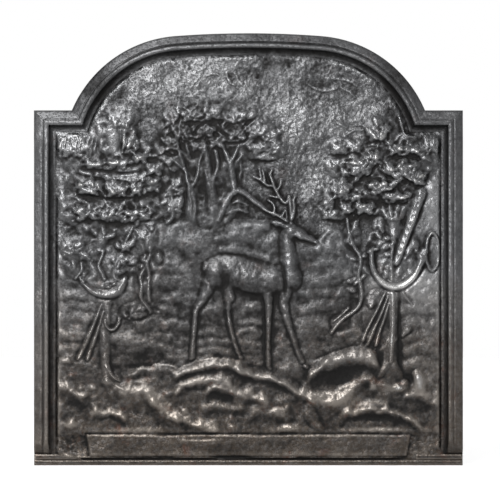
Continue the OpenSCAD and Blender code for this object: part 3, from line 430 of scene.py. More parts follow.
# left tree and the trophy hung on it
leftTrunk = dict(
    blend=1.5,
    round=0.45,
    limbs=[[(-206, 340, 6, 2.4), (-203, 300, 7, 3), (-203, 262, 9, 3.4), (-202, 232, 11, 3.6),
            (-202, 205, 9, 3.8), (-201, 175, 7.6, 4.2), (-201, 148, 7, 5), (-200, 134, 8, 5),
            (-199, 122, 10, 3.4), (-199, 114, 13, 1)],
           [(-207, 322, 4, 2.8), (-222, 338, 3, 2.6), (-238, 348, 2, 2.2)],
           [(-200, 318, 4, 2.8), (-184, 334, 3, 2.6), (-168, 346, 2, 2.2)],
           [(-197, 138, 4, 5.2), (-191, 126, 3.4, 5.6), (-180, 118, 2.4, 4.8)]],
    domes=[(-201, 152, 5, 5, 0, 6.2), (-198, 137, 4.6, 6, 20, 6.2), (-202, 178, 5, 15, 3, 5.6),
           (-200, 121, 7, 6, 0, 6.4)],
    lines=[(1.8, 1.4, (-206, 262), (-202, 240), (-204, 215)),
           (1.8, 1.2, (-196, 230), (-196, 210), (-198, 196)),
           (1.8, 1.4, (-207, 196), (-206, 180), (-206, 164)),
           (1.7, 1.2, (-197, 190), (-197, 172), (-198, 158)),
           (1.8, 1.2, (-213, 118), (-208, 127), (-205, 138)),
           (1.8, 1.2, (-188, 118), (-193, 126), (-197, 134))])
leftCrown = dict(
    leafy=0.4,
    beds=[(-205, 352, 62, 22, 2.2), (-160, 356, 42, 20, 2), (-192, 394, 66, 26, 2.2),
          (-178, 424, 52, 16, 2), (-190, 456, 36, 34, 2), (-134, 404, 26, 26, 2), (-244, 444, 28, 20, 1.8),
          (-250, 404, 20, 34, 1.2), (-176, 488, 24, 18, 1.5), (-152, 440, 18, 18, 1.6),
          (-250, 366, 20, 20, 1.4)],
    boughs=[(-178, 486, 19, 14, 1.8), (-226, 356, 21, 14, 3.2), (-188, 354, 24, 13, 3.4),
            (-155, 352, 20, 10, 3.2), (-246, 446, 25, 14, 2.4), (-134, 396, 14, 13, 3.4),
            (-132, 415, 15, 10, 3), (-158, 388, 13, 12, 3.4), (-186, 388, 19, 13, 4),
            (-222, 391, 20, 14, 4), (-216, 422, 17, 6, 2.6), (-183, 424, 21, 8, 3.2),
            (-151, 431, 13, 9, 3.2), (-166, 450, 11, 16, 2.8)],
    domes=[(-190, 458, 12, 30, 4, 3.4)],
    leaves=[(-241, 374, -22, 17, 7, 2.6), (-246, 356, 14, 18, 13, 3.2), (-226, 358, 50, 13, 8, 2.8),
            (-219, 358, -80, 19, 7, 2.6), (-212, 346, 6, 17, 7, 2.8), (-211, 339, 4, 16, 6, 2.6),
            (-195, 348, 62, 22, 9, 3.2), (-182, 356, 58, 18, 8, 3.2), (-176, 354, 6, 20, 8, 2.8),
            (-170, 352, 12, 30, 8, 3.4), (-154, 353, -24, 18, 8, 3), (-170, 345, -6, 18, 7, 2.6),
            (-238, 412, -12, 20, 7, 2.4), (-239, 392, 30, 18, 11, 3.2), (-228, 402, -34, 22, 10, 3.4),
            (-214, 400, -60, 20, 9, 3.2), (-232, 386, -12, 20, 9, 2.8), (-206, 404, -6, 16, 7, 2.4),
            (-200, 396, -52, 20, 9, 3.2), (-186, 378, 128, 18, 9, 3), (-174, 376, 96, 20, 9, 3.2),
            (-182, 384, 30, 16, 9, 3), (-163, 384, 10, 14, 11, 3.4), (-172, 400, 0, 20, 8, 2.8),
            (-148, 396, 86, 14, 8, 3.2), (-140, 396, 20, 16, 10, 3.2), (-146, 408, 30, 26, 11, 3),
            (-124, 366, 30, 17, 8, 2.6), (-224, 421, 4, 20, 7, 2.4), (-198, 424, 6, 20, 9, 3),
            (-178, 426, -4, 18, 8, 2.8), (-176, 442, 84, 36, 6, 3), (-170, 444, 66, 26, 11, 3),
            (-158, 440, 80, 17, 8, 2.6), (-163, 428, 26, 19, 13, 3.4), (-148, 432, 50, 18, 7, 2.6),
            (-146, 435, -4, 20, 6, 2.2), (-186, 474, 96, 20, 10, 1.8), (-172, 474, 66, 18, 9, 1.8)],
    lines=[(1.6, 1.8, (-236, 412), (-222, 407), (-206, 404)),
           (1.5, 1.8, (-200, 402), (-180, 401), (-165, 399), (-152, 401)),
           (1.5, 1.8, (-140, 424), (-132, 421), (-124, 424)),
           (1.5, 1.6, (-146, 444), (-138, 446), (-130, 440)),
           (1.3, 1.5, (-268, 404), (-270, 430), (-269, 452), (-264, 459), (-254, 458))]
          + [(1.4, 2.0 + 0.6 * math.sin(1.7 * i), (-264 + 5.4 * i, 434 + 4 * math.sin(2.3 * i)),
              (-263 + 5.4 * i, 447), (-261 + 5.4 * i, 460)) for i in range(10)],
    cuts=[(2.2, 2.6, (-232, 414), (-204, 412), (-176, 409), (-150, 412)),
          (1.8, 2.4, (-240, 380), (-214, 376), (-190, 373), (-164, 374)),
          (1.5, 1.8, (-204, 384), (-202, 392), (-204, 400)),
          (1.5, 2, (-168, 384), (-166, 392), (-170, 398))])
leftHorn = dict(
    blend=1.0,
    limbs=[[(-236, 263, 1.8, 4.6), (-232, 256, 3, 5.6), (-225, 249, 3.4, 6), (-216, 243, 4.2, 6.4),
            (-205, 240, 6.4, 6.6), (-193, 241, 8, 6.6), (-184, 246, 8, 6.6), (-177, 254, 6.4, 6.2),
            (-173, 262, 4, 5.4)]],
    domes=[(-232, 257, 3.6, 4.6, 20, 7.6), (-208, 241, 3, 5.4, 0, 7.8), (-181, 246, 4, 4.6, 30, 8.2),
           (-196, 250, 5, 3.4, 0, 7.8), (-188, 254, 4.6, 3, 20, 7.6), (-199, 237, 5, 3, 0, 7.4),
           (-188, 240, 4, 3, 10, 7.4)],
    lines=[(2, 1.4, (-196, 246), (-190, 252), (-180, 256)),
           (1.9, 1.6, (-189, 272), (-188, 264), (-183, 260), (-178, 260), (-169, 265)),
           (1.8, 1.4, (-188, 268), (-187, 274), (-184, 280)),
           (1.8, 1.2, (-186, 236), (-178, 240), (-172, 248))])
leftSpears = dict(
    limbs=[[(-206, 225, 2.6, 3.4), (-216, 200, 3.2, 3.8), (-228, 172, 3.8, 3.8), (-239, 149, 3.8, 3.2)],
           [(-203, 216, 2.4, 3.4), (-211, 190, 2.8, 3.8), (-219, 168, 3.2, 3.8), (-226, 149, 3.4, 3.2)],
           [(-201, 203, 1.8, 4.8), (-199, 195, 2, 5.2), (-193, 190, 2.2, 5.4), (-187, 192, 2.2, 5.4),
            (-182, 199, 2.4, 5.2), (-181, 205, 2.4, 4.8)]],
    leaves=[(-231, 166, 246, 20, 8, 2), (-220, 164, 252, 18, 8, 2)])
leftRibbon = dict(
    leafy=0.4,
    beds=[(-148, 262, 12, 46, 1.4), (-160, 216, 22, 14, 1.6), (-140, 318, 14, 24, 1.5),
          (-126, 290, 8, 12, 1.8)],
    limbs=[[(-143, 330, 3, 2.6), (-142, 316, 3.4, 3.2), (-144, 303, 3, 3), (-151, 296, 3.6, 3.8),
            (-149, 288, 3.4, 4.2), (-143, 286, 3, 4), (-146, 276, 2.8, 3.2), (-151, 266, 3.4, 3.8),
            (-150, 252, 3, 3.6), (-151, 240, 3, 3.8), (-149, 231, 3, 3.8), (-142, 223, 3.4, 4),
            (-137, 215, 3, 3)],
           [(-138, 294, 2.6, 3.2), (-142, 282, 2.6, 3.6), (-139, 266, 3, 3.6), (-140, 250, 3, 3.8),
            (-139, 230, 2.6, 3.2)]],
    domes=[(-147, 292, 6, 6, 0, 4.6), (-125, 290, 6, 8, 10, 3.6), (-141, 262, 3.6, 4, 0, 4.2),
           (-151, 262, 3.6, 5, 0, 4.4)],
    leaves=[(-142, 222, 205, 24, 10, 2.6), (-158, 229, 250, 20, 9, 2.4), (-142, 212, 186, 24, 10, 2.6),
            (-132, 332, 168, 24, 14, 3.2), (-150, 300, 120, 14, 8, 2.8), (-136, 220, -30, 14, 7, 2.2),
            (-130, 342, 210, 20, 10, 2.6), (-140, 318, 100, 14, 8, 2.4)],
    lines=[(1.6, 1.6, (-147, 306), (-142, 307), (-138, 301), (-137, 293)),
           (1.6, 1.6, (-153, 297), (-151, 288), (-144, 284)),
           (1.7, 1.4, (-165, 224), (-159, 227), (-154, 224)),
           (1.7, 1.4, (-174, 225), (-169, 216), (-162, 210))])
leftQuiver = dict(
    leafy=0.45,
    beds=[(-243, 303, 22, 20, 1.8), (-168, 314, 20, 26, 1.8), (-204, 306, 18, 34, 1.5),
          (-240, 274, 18, 16, 1.5), (-172, 284, 22, 22, 1.8), (-150, 316, 12, 24, 1.4),
          (-216, 332, 26, 12, 1.5), (-194, 284, 12, 24, 1.4)],
    boughs=[(-242, 305, 15, 11, 2.6), (-230, 294, 8, 7, 2.6), (-172, 308, 9, 9, 2.8),
            (-150, 324, 9, 9, 2.2)],
    domes=[(-245, 280, 4, 7, 10, 4.2), (-226, 331, 5, 4.4, 20, 3.4), (-224, 290, 4, 4, 0, 4.4),
           (-176, 284, 4, 4, 0, 3.8), (-163, 274, 5, 3, 20, 4.2), (-150, 278, 4, 4, 0, 3.4)],
    limbs=[[(-162, 334, 2.2, 3.8), (-167, 324, 2.6, 4.4), (-172, 314, 3, 4.8), (-175, 304, 3.6, 5)],
           [(-203, 301, 2, 4), (-205, 294, 2.2, 4.2), (-209, 285, 2.4, 4.4), (-210, 279, 2.6, 4.6),
            (-206, 271, 3.4, 5), (-202, 261, 3.6, 5)],
           [(-234, 282, 2, 3.6), (-234, 273, 2.4, 4.2), (-242, 262, 2.2, 3.8)]],
    leaves=[(-244, 306, 30, 13, 9, 2.6), (-234, 300, -40, 13, 8, 2.6), (-176, 304, 150, 13, 9, 2.8),
            (-166, 306, 60, 13, 8, 2.8), (-186, 322, 190, 14, 7, 2.2), (-190, 300, 280, 18, 9, 2),
            (-180, 290, 250, 16, 9, 2.4), (-168, 282, 20, 14, 8, 2.4), (-158, 334, 70, 12, 7, 2.2),
            (-200, 322, 110, 12, 7, 2.2), (-212, 322, 130, 12, 7, 2), (-160, 292, 200, 14, 8, 2.2),
            (-172, 272, 190, 12, 7, 2.2)],
    lines=[(1.7, 1.6, (-205, 327), (-203, 320), (-204, 313)),
           (1.7, 1.6, (-196, 323), (-191, 321), (-186, 325)),
           (1.7, 1.4, (-213, 302), (-207, 300), (-201, 301)),
           (1.7, 1.4, (-152, 312), (-148, 304), (-146, 298)),
           (1.6, 1.4, (-178, 296), (-184, 286), (-188, 276)),
           (1.6, 1.4, (-168, 296), (-172, 284), (-178, 276)),
           (1.6, 1.4, (-260, 300), (-250, 296), (-240, 290)),
           (1.6, 1.4, (-222, 312), (-216, 316), (-208, 314))])

# right tree and the trophy hung on it
rightTrunk = dict(
    blend=1.5,
    round=0.45,
    limbs=[[(203, 332, 6, 2.4), (202, 290, 7, 3), (201, 245, 10, 3.2), (201, 205, 11, 3.6),
            (200, 170, 11.6, 4), (199, 142, 11, 4.6), (199, 126, 16, 4.2), (200, 115, 22, 2)],
           [(201.5, 246, 3.6, 4.6), (202, 215, 4, 5.4), (200.5, 175, 4.2, 6), (199, 146, 4.4, 6)],
           [(205, 176, 5, 4.6), (214, 184, 5.4, 5), (222, 190, 6, 5.4)],
           [(193, 142, 7, 5.2), (185, 129, 7, 4.8), (177, 119, 6, 2.6)],
           [(204, 142, 7, 5.2), (209, 129, 7, 4.8), (213, 118, 6, 2.4)]],
    domes=[(222, 190, 7, 5.4, 35, 6.6), (193, 215, 3.6, 8, 0, 5.6)],
    cuts=[(3.4, 3.4, (213, 240), (213, 215), (212, 190), (213, 165), (215, 150)),
          (2, 1.6, (189, 235), (190, 205), (188, 170), (186, 150))],
    lines=[(1.8, 1.4, (193, 240), (194, 224), (193, 210)), (1.9, 1.6, (194, 190), (193, 176), (195, 160)),
           (1.9, 1.6, (203, 190), (204, 176), (202, 162)), (1.8, 1.2, (209, 230), (208, 210), (208, 196)),
           (1.8, 1.4, (191, 160), (190, 146), (188, 130)), (1.8, 1.4, (200, 160), (199, 144), (198, 124)),
           (1.8, 1.2, (208, 165), (207, 146), (208, 128)), (1.8, 1.4, (218, 194), (224, 193), (230, 188)),
           (1.8, 1.4, (200, 202), (200, 198), (199, 192))])
rightCrown = dict(
    leafy=0.4,
    beds=[(160, 430, 44, 28, 2.2), (216, 425, 34, 42, 2.2), (185, 466, 26, 24, 1.8), (150, 378, 46, 26, 2),
          (130, 446, 26, 14, 1.6), (196, 388, 42, 22, 2.2), (122, 358, 24, 16, 1.6), (166, 362, 22, 14, 2),
          (252, 436, 16, 26, 1.6), (124, 418, 18, 16, 1.6)],
    boughs=[(114, 352, 13, 8, 2.6), (112, 366, 11, 9, 2.8), (126, 424, 13, 7, 2.6), (136, 411, 10, 8, 2.6),
            (258, 449, 13, 13, 2.4), (182, 468, 18, 17, 3), (128, 445, 15, 10, 3.4), (149, 447, 13, 9, 3.4),
            (137, 361, 11, 9, 3.4), (163, 361, 18, 10, 3.8), (150, 376, 11, 8, 3.4), (131, 387, 16, 17, 4),
            (228, 444, 24, 11, 3.6), (206, 444, 15, 10, 3.8), (178, 432, 11, 13, 3.6),
            (157, 421, 20, 17, 4.4), (239, 402, 12, 11, 3.8), (216, 412, 28, 19, 4.8),
            (188, 391, 22, 12, 4.6), (207, 377, 22, 9, 4.4)],
    leaves=[(182, 456, 138, 24, 11, 3.6), (184, 454, 66, 27, 13, 4.2), (180, 474, 104, 16, 8, 3.4),
            (192, 450, 20, 12, 7, 3), (161, 424, 178, 20, 10, 3.4), (158, 438, -44, 13, 8, 2.8),
            (166, 424, 62, 17, 9, 3.6), (172, 426, 34, 15, 9, 3.4), (156, 411, 186, 15, 9, 2.6),
            (158, 410, 232, 15, 8, 2.4), (178, 428, 80, 15, 8, 3.6), (208, 443, 8, 17, 9, 3.2),
            (222, 443, -14, 18, 9, 3.2), (238, 436, -30, 13, 8, 2.8), (208, 414, 168, 20, 10, 3.4),
            (208, 416, 60, 18, 10, 3.4), (212, 414, 20, 20, 10, 3.4), (216, 408, -30, 18, 9, 3),
            (206, 408, -80, 14, 9, 2.8), (232, 412, 60, 15, 8, 3), (230, 402, -40, 16, 9, 3.4),
            (240, 402, 40, 13, 8, 3), (180, 389, 30, 17, 11, 4.4), (184, 386, 4, 18, 9, 3.6),
            (168, 392, 26, 16, 8, 3), (190, 378, 6, 24, 9, 3), (204, 376, 0, 22, 9, 3),
            (128, 394, -36, 16, 9, 3.2), (124, 382, 14, 14, 8, 3.4), (136, 380, -30, 14, 8, 3),
            (146, 377, 0, 14, 8, 3), (104, 366, 30, 15, 7, 2.6), (136, 353, 24, 14, 7, 2.8),
            (154, 361, 20, 14, 7, 3)],
    lines=[(1.4, 2, (137, 463), (143, 467), (150, 470), (160, 469)),
           (1.6, 2.4, (210, 492), (214, 478), (218, 465), (226, 461), (236, 460)),
           (1.4, 2.2, (205, 450), (208, 458), (215, 464)), (1.6, 2, (163, 447), (176, 449), (190, 446)),
           (1.5, 1.6, (172, 402), (186, 404), (200, 398), (212, 392)),
           (1.5, 2, (155, 356), (162, 364), (170, 359))]
          + [(1.2, 1.8, (246 + 4.4 * i, 440 + 2 * math.sin(2.1 * i)), (246.6 + 4.4 * i, 451),
              (247 + 4.4 * i, 461))
             for i in range(5)],
    cuts=[(1.5, 2.6, (178, 418), (190, 408), (204, 400), (222, 395)),
          (1.5, 2.2, (160, 400), (172, 408), (178, 420)),
          (1.4, 2, (196, 432), (206, 430), (222, 432), (240, 428)),
          (1.4, 2, (140, 398), (150, 392), (160, 394))])
rightHorn = dict(
    blend=0.8,
    round=0.42,
    limbs=[[(174, 304, 3.4, 5.4), (172, 295, 3.8, 6), (173, 282, 4.2, 6.4), (177, 270, 4.6, 6.8),
            (185, 259, 5.4, 7.2), (195, 252, 6, 7.4), (206, 250, 6.4, 7.6), (218, 254, 6.6, 7.6),
            (229, 263, 6.6, 7.6), (237, 276, 6.6, 7.4), (243, 290, 6.6, 7), (246, 299, 6.6, 6)],
           [(258, 282, 9, 2.6), (259, 300, 10, 2.6), (259, 316, 9, 2.6)],
           [(253, 276, 2.4, 5), (249, 288, 2.6, 5.6), (249, 304, 2.8, 6), (251, 318, 2.8, 6),
            (257, 326, 2.8, 6), (263, 321, 2.2, 5), (267, 308, 2, 4.4), (267, 292, 2, 4.4),
            (263, 278, 2.2, 4.6), (258, 273, 2.4, 5), (253, 276, 2.4, 5)]],
    domes=[(171, 300, 6, 5, 20, 7.2), (179, 303, 4.4, 3.4, 20, 6.4), (242, 292, 7, 8, 30, 7.4)],
    cuts=[(1.3, 1.6, (176, 292), (178, 279), (184, 267), (196, 259), (208, 257), (221, 262), (231, 273),
           (237, 288))],
    lines=[(1.9, 1, (169, 292), (170, 278), (178, 263), (191, 252), (208, 247), (224, 253), (236, 267),
            (245, 290))])
rightBaton = dict(
    round=0.3,
    limbs=[[(207, 284, 4.6, 5.8), (220, 320, 6.2, 6.4), (233, 356, 7.2, 6.8), (242, 380, 7.6, 7)]],
    domes=[(241, 380, 10, 7.5, 66, 7.4), (233, 362, 5, 9, -20, 7.4)],
    lines=[(1.8, 1, (203, 287), (216, 322), (229, 358), (236, 380)),
           (1.8, 1, (212, 286), (226, 320), (240, 354), (246, 376))],
    cuts=[(1.8, 2.8, (208 + 3.45 * i, 290 + 9.2 * i), (209.4 + 3.45 * i, 294 + 9.2 * i)) for i in range(9)])
rightQuiver = dict(
    leafy=0.4,
    beds=[(206, 330, 24, 26, 1.8), (186, 322, 18, 26, 1.8), (200, 280, 24, 26, 1.2),
          (228, 306, 14, 18, 1.8), (216, 350, 18, 16, 1.8)],
    limbs=[[(200, 258, 2.4, 4.4), (200.5, 280, 2.6, 5), (201, 300, 2.8, 5.2), (202, 314, 3.2, 5.2)],
           [(203, 314, 4.6, 4.8), (203, 330, 6.6, 5.4), (203, 346, 11, 5.2)]],
    domes=[(204, 324, 6, 8, 0, 6.2), (213, 315, 3, 3, 0, 4.8), (236, 300, 4.4, 4.6, 0, 5.4),
           (233, 308, 7, 9, 10, 4.4)],
    leaves=[(190, 346, 2, 28, 8, 3), (194, 346, 110, 18, 8, 3.2), (200, 347, 98, 19, 8, 3.4),
            (207, 347, 80, 19, 8, 3.4), (213, 346, 68, 17, 8, 3.2), (188, 304, 24, 14, 8, 3.2),
            (186, 318, 128, 15, 8, 3), (190, 318, 8, 14, 8, 3.4), (204, 318, 84, 14, 10, 2.6),
            (182, 264, 78, 22, 9, 2.4), (191, 262, 72, 21, 8, 2.4), (190, 294, 16, 12, 7, 2.8),
            (214, 278, 250, 14, 8, 2.4), (182, 346, -72, 22, 9, 2.6), (191, 336, -56, 17, 9, 2.8),
            (228, 308, 246, 15, 9, 2.4), (222, 348, 60, 16, 8, 2.4), (166, 312, 60, 16, 8, 2.2),
            (176, 330, 80, 16, 8, 2.2)],
    lines=[(1.7, 1.4, (194, 344), (197, 336), (199, 326)), (1.7, 1.4, (212, 344), (209, 336), (207, 326)),
           (1.7, 1.6, (178, 326), (182, 320), (186, 314)), (1.7, 1.6, (190, 306), (194, 310), (200, 308)),
           (1.7, 1.6, (198, 320), (206, 319), (214, 320))])
rightArrows = dict(
    beds=[(178, 205, 20, 44, 0.9)],
    limbs=[[(191, 242, 2, 4.4), (180, 218, 2.2, 4.8), (168, 195, 2.3, 4.8), (160, 176, 2.4, 4.2)],
           [(195, 236, 1.9, 4.2), (186, 213, 2, 4.4), (176, 192, 2.2, 4.6), (167, 170, 2.4, 4.2)],
           [(196, 226, 1.9, 4), (189, 203, 2, 4.2), (183, 186, 2, 4.4), (178, 168, 2.2, 4)],
           [(216, 243, 2, 3), (222, 234, 2.4, 3.4), (229, 226, 2.2, 3)]],
    leaves=[(166, 188, 246, 20, 8, 1.8), (176, 194, 247, 24, 8, 1.8), (182, 184, 258, 17, 7, 1.8),
            (172, 242, -92, 22, 12, 2), (180, 258, 70, 14, 8, 1.8)])
sapling = dict(
    leafy=0.4,
    beds=[(146, 320, 14, 20, 1.2), (156, 276, 10, 26, 1.2), (152, 238, 10, 24, 1.2),
          (128, 200, 16, 12, 1.2)],
    limbs=[[(138, 346, 2, 2.6), (141, 326, 2.4, 3), (148, 306, 2.8, 3.4), (155, 296, 3, 3.6),
            (157, 284, 3, 3.4), (154, 268, 2.8, 3.2), (157, 252, 3, 3.8), (158, 238, 3.2, 4),
            (155, 225, 3.2, 4), (147, 216, 3.2, 4), (134, 207, 3.2, 3.8), (124, 197, 3.2, 3.6),
            (116, 186, 3, 3)],
           [(140, 220, 2, 2.8), (130, 211, 2.2, 3), (119, 202, 2, 2.6)],
           [(149, 254, 2.2, 3.2), (156, 260, 2.4, 3.6), (163, 266, 2, 2.8)],
           [(149, 306, 2, 2.8), (141, 312, 2, 2.8), (139, 326, 1.6, 2.4)]],
    leaves=[(150, 288, 150, 15, 9, 2.4), (160, 292, 30, 15, 9, 2.4), (152, 262, 200, 14, 8, 2.2),
            (162, 280, -60, 14, 8, 2), (146, 330, 60, 15, 8, 2.2), (150, 244, 160, 13, 8, 2)])

# the stag
stag = dict(
    blend=2.2,
    limbs=[[(-57, 279, 9, 5.4), (-48, 275, 18, 6.6), (-32, 274, 22, 7.2), (-10, 268, 24, 7.6),
            (14, 261, 24, 7.8), (34, 260, 22, 8), (52, 264, 18, 7.4), (64, 266, 12, 6.2)],
           [(58, 262, 16, 7.2), (57, 284, 14, 7), (54, 304, 12, 6.8), (54, 320, 11.6, 7),
            (58, 332, 9, 6.4)],
           [(55, 331, 8.4, 6.6), (65, 327, 9, 7.6), (77, 321, 6.8, 7.4), (88, 316, 5.2, 6.6),
            (95, 312.5, 4, 5.6)],
           [(-52, 262, 13, 6.4), (-59, 244, 10, 6.2), (-67, 228, 7.4, 6), (-74, 216, 5.8, 6),
            (-76, 194, 4.8, 5.8), (-78, 170, 4.6, 5.6), (-79, 154, 4.8, 5.4)],
           [(-28, 258, 12, 4.8), (-28, 238, 8, 4.6), (-29, 216, 5, 4.4), (-26, 196, 4.4, 4.4),
            (-20, 174, 4.2, 4.4), (-14, 157, 4.2, 4.4)],
           [(26, 246, 11, 6.6), (28, 226, 7.8, 6.2), (28, 202, 6.4, 6), (27.5, 178, 5.6, 6),
            (27.5, 156, 5.4, 6), (28, 140, 5.2, 5.8)],
           [(52, 246, 11, 5), (49, 226, 8, 5), (54, 206, 6.4, 4.8), (61, 184, 5.4, 4.8), (68, 162, 5, 4.8),
            (75, 146, 4.8, 4.6)]],
    domes=[(-45, 268, 17, 23, 18, 7.8), (34, 260, 16, 20, -10, 8.4), (64, 264, 11, 20, 8, 7.2),
           (-6, 264, 26, 17, -6, 7.8), (61, 326, 9.4, 8.4, 20, 7.6), (95, 312.5, 3.4, 3, -20, 6.4),
           (73, 319, 7.4, 4.6, -20, 7.8), (-79, 150, 5, 3.6, 10, 5.4), (-11, 151, 5, 3.6, -8, 4.8),
           (30, 135, 5.4, 4, -10, 6), (81, 138, 6, 4, -16, 4.8), (-75, 213, 4.6, 6, 10, 6.4),
           (28, 200, 5, 7, 0, 6.4), (52, 220, 6, 8, -14, 5.4), (-24, 236, 6, 9, 10, 5.2)],
    leaves=[(57, 335, 166, 26, 9, 5.8), (62, 338, 130, 15, 7, 5), (-57, 285, 242, 13, 7, 3.2)],
    lines=[(1.8, 0.8, (-54, 293), (-40, 297), (-20, 296), (4, 291), (38, 281)),
           (1.3, 1, (66, 335), (78, 329), (91, 321)), (1.3, 0.9, (64, 312), (77, 311), (91, 308)),
           (1.4, 1, (-24, 200), (-18, 178), (-13, 160))],
    cuts=[(7, 1, (-38, 284), (-33, 268), (-32, 250)), (6, 0.6, (14, 246), (17, 258), (15, 270)),
          (3.4, 2.2, (52, 240), (51, 256), (49, 272), (45, 284)),
          (1.3, 2.2, (60, 324.5), (64, 326), (69, 325)), (1.1, 1.5, (83, 314), (90, 311.5), (96, 309.5)),
          (1, 1.4, (92, 316), (94.5, 315)), (2, 1, (-14, 284), (-10, 268), (-16, 252)),
          (1.2, 1.6, (50, 334), (42, 338), (35, 340)), (2, 1.4, (70, 310), (62, 313), (56, 322)),
          (1.4, 1.2, (-60, 262), (-52, 250), (-48, 244))])
antlers = dict(
    limbs=[[(54, 342, 2.6, 6), (45, 348, 2.6, 6), (38, 352, 2.5, 5.8), (30, 355, 2.3, 5.4),
            (21, 359, 1.6, 4.4)],
           [(60, 345, 2.8, 6), (59, 360, 2.7, 6), (57, 378, 2.4, 5.6), (54, 369, 2.4, 5.8),
            (49, 369, 2.5, 6), (43, 377, 2.5, 6), (37, 388, 2.4, 5.8), (33, 399, 2.2, 5.4), (30, 408, 2, 5),
            (33, 414, 1.5, 4.2)],
           [(36, 354, 2, 5.4), (36, 363, 1.9, 5.2), (32, 369, 1.7, 4.8), (28, 371, 1.3, 4)],
           [(44, 375, 1.9, 5.2), (37, 376, 1.8, 5), (30, 378, 1.3, 4)],
           [(36, 391, 1.9, 5), (26, 393, 1.8, 4.8), (19, 399, 1.8, 4.6), (15, 417, 1.2, 3.8)],
           [(20, 398, 1.7, 4.6), (13, 402, 1.6, 4.4), (6, 405, 1.2, 3.6)],
           [(24, 395, 1.6, 4.4), (22, 404, 1.5, 4.2), (20, 413, 1.1, 3.6)],
           [(62, 347, 2.1, 5.6), (64, 360, 2, 5.4), (63, 370, 1.8, 5), (66, 378, 1.3, 4)],
           [(47, 349, 1.9, 5.4), (52, 358, 1.7, 5), (54, 346, 1.2, 4)],
           [(40, 384, 1.7, 4.8), (44, 392, 1.5, 4.4), (46, 400, 1.1, 3.6)]])

middle = 30  # where the two far banks meet, behind the stag
lay("far_bank_left", farLand("left") * (gx < middle), trench=0, lift=0.1)
lay("far_bank_right", farLand("right") * (gx >= middle), trench=0, lift=0.1)
lay("back_foliage", 0.85 * carve(backWood))
lay("back_trunks", 0.8 * carve(backTrunks), trench=0.45, melt=True)
lay("sapling", carve(sapling))

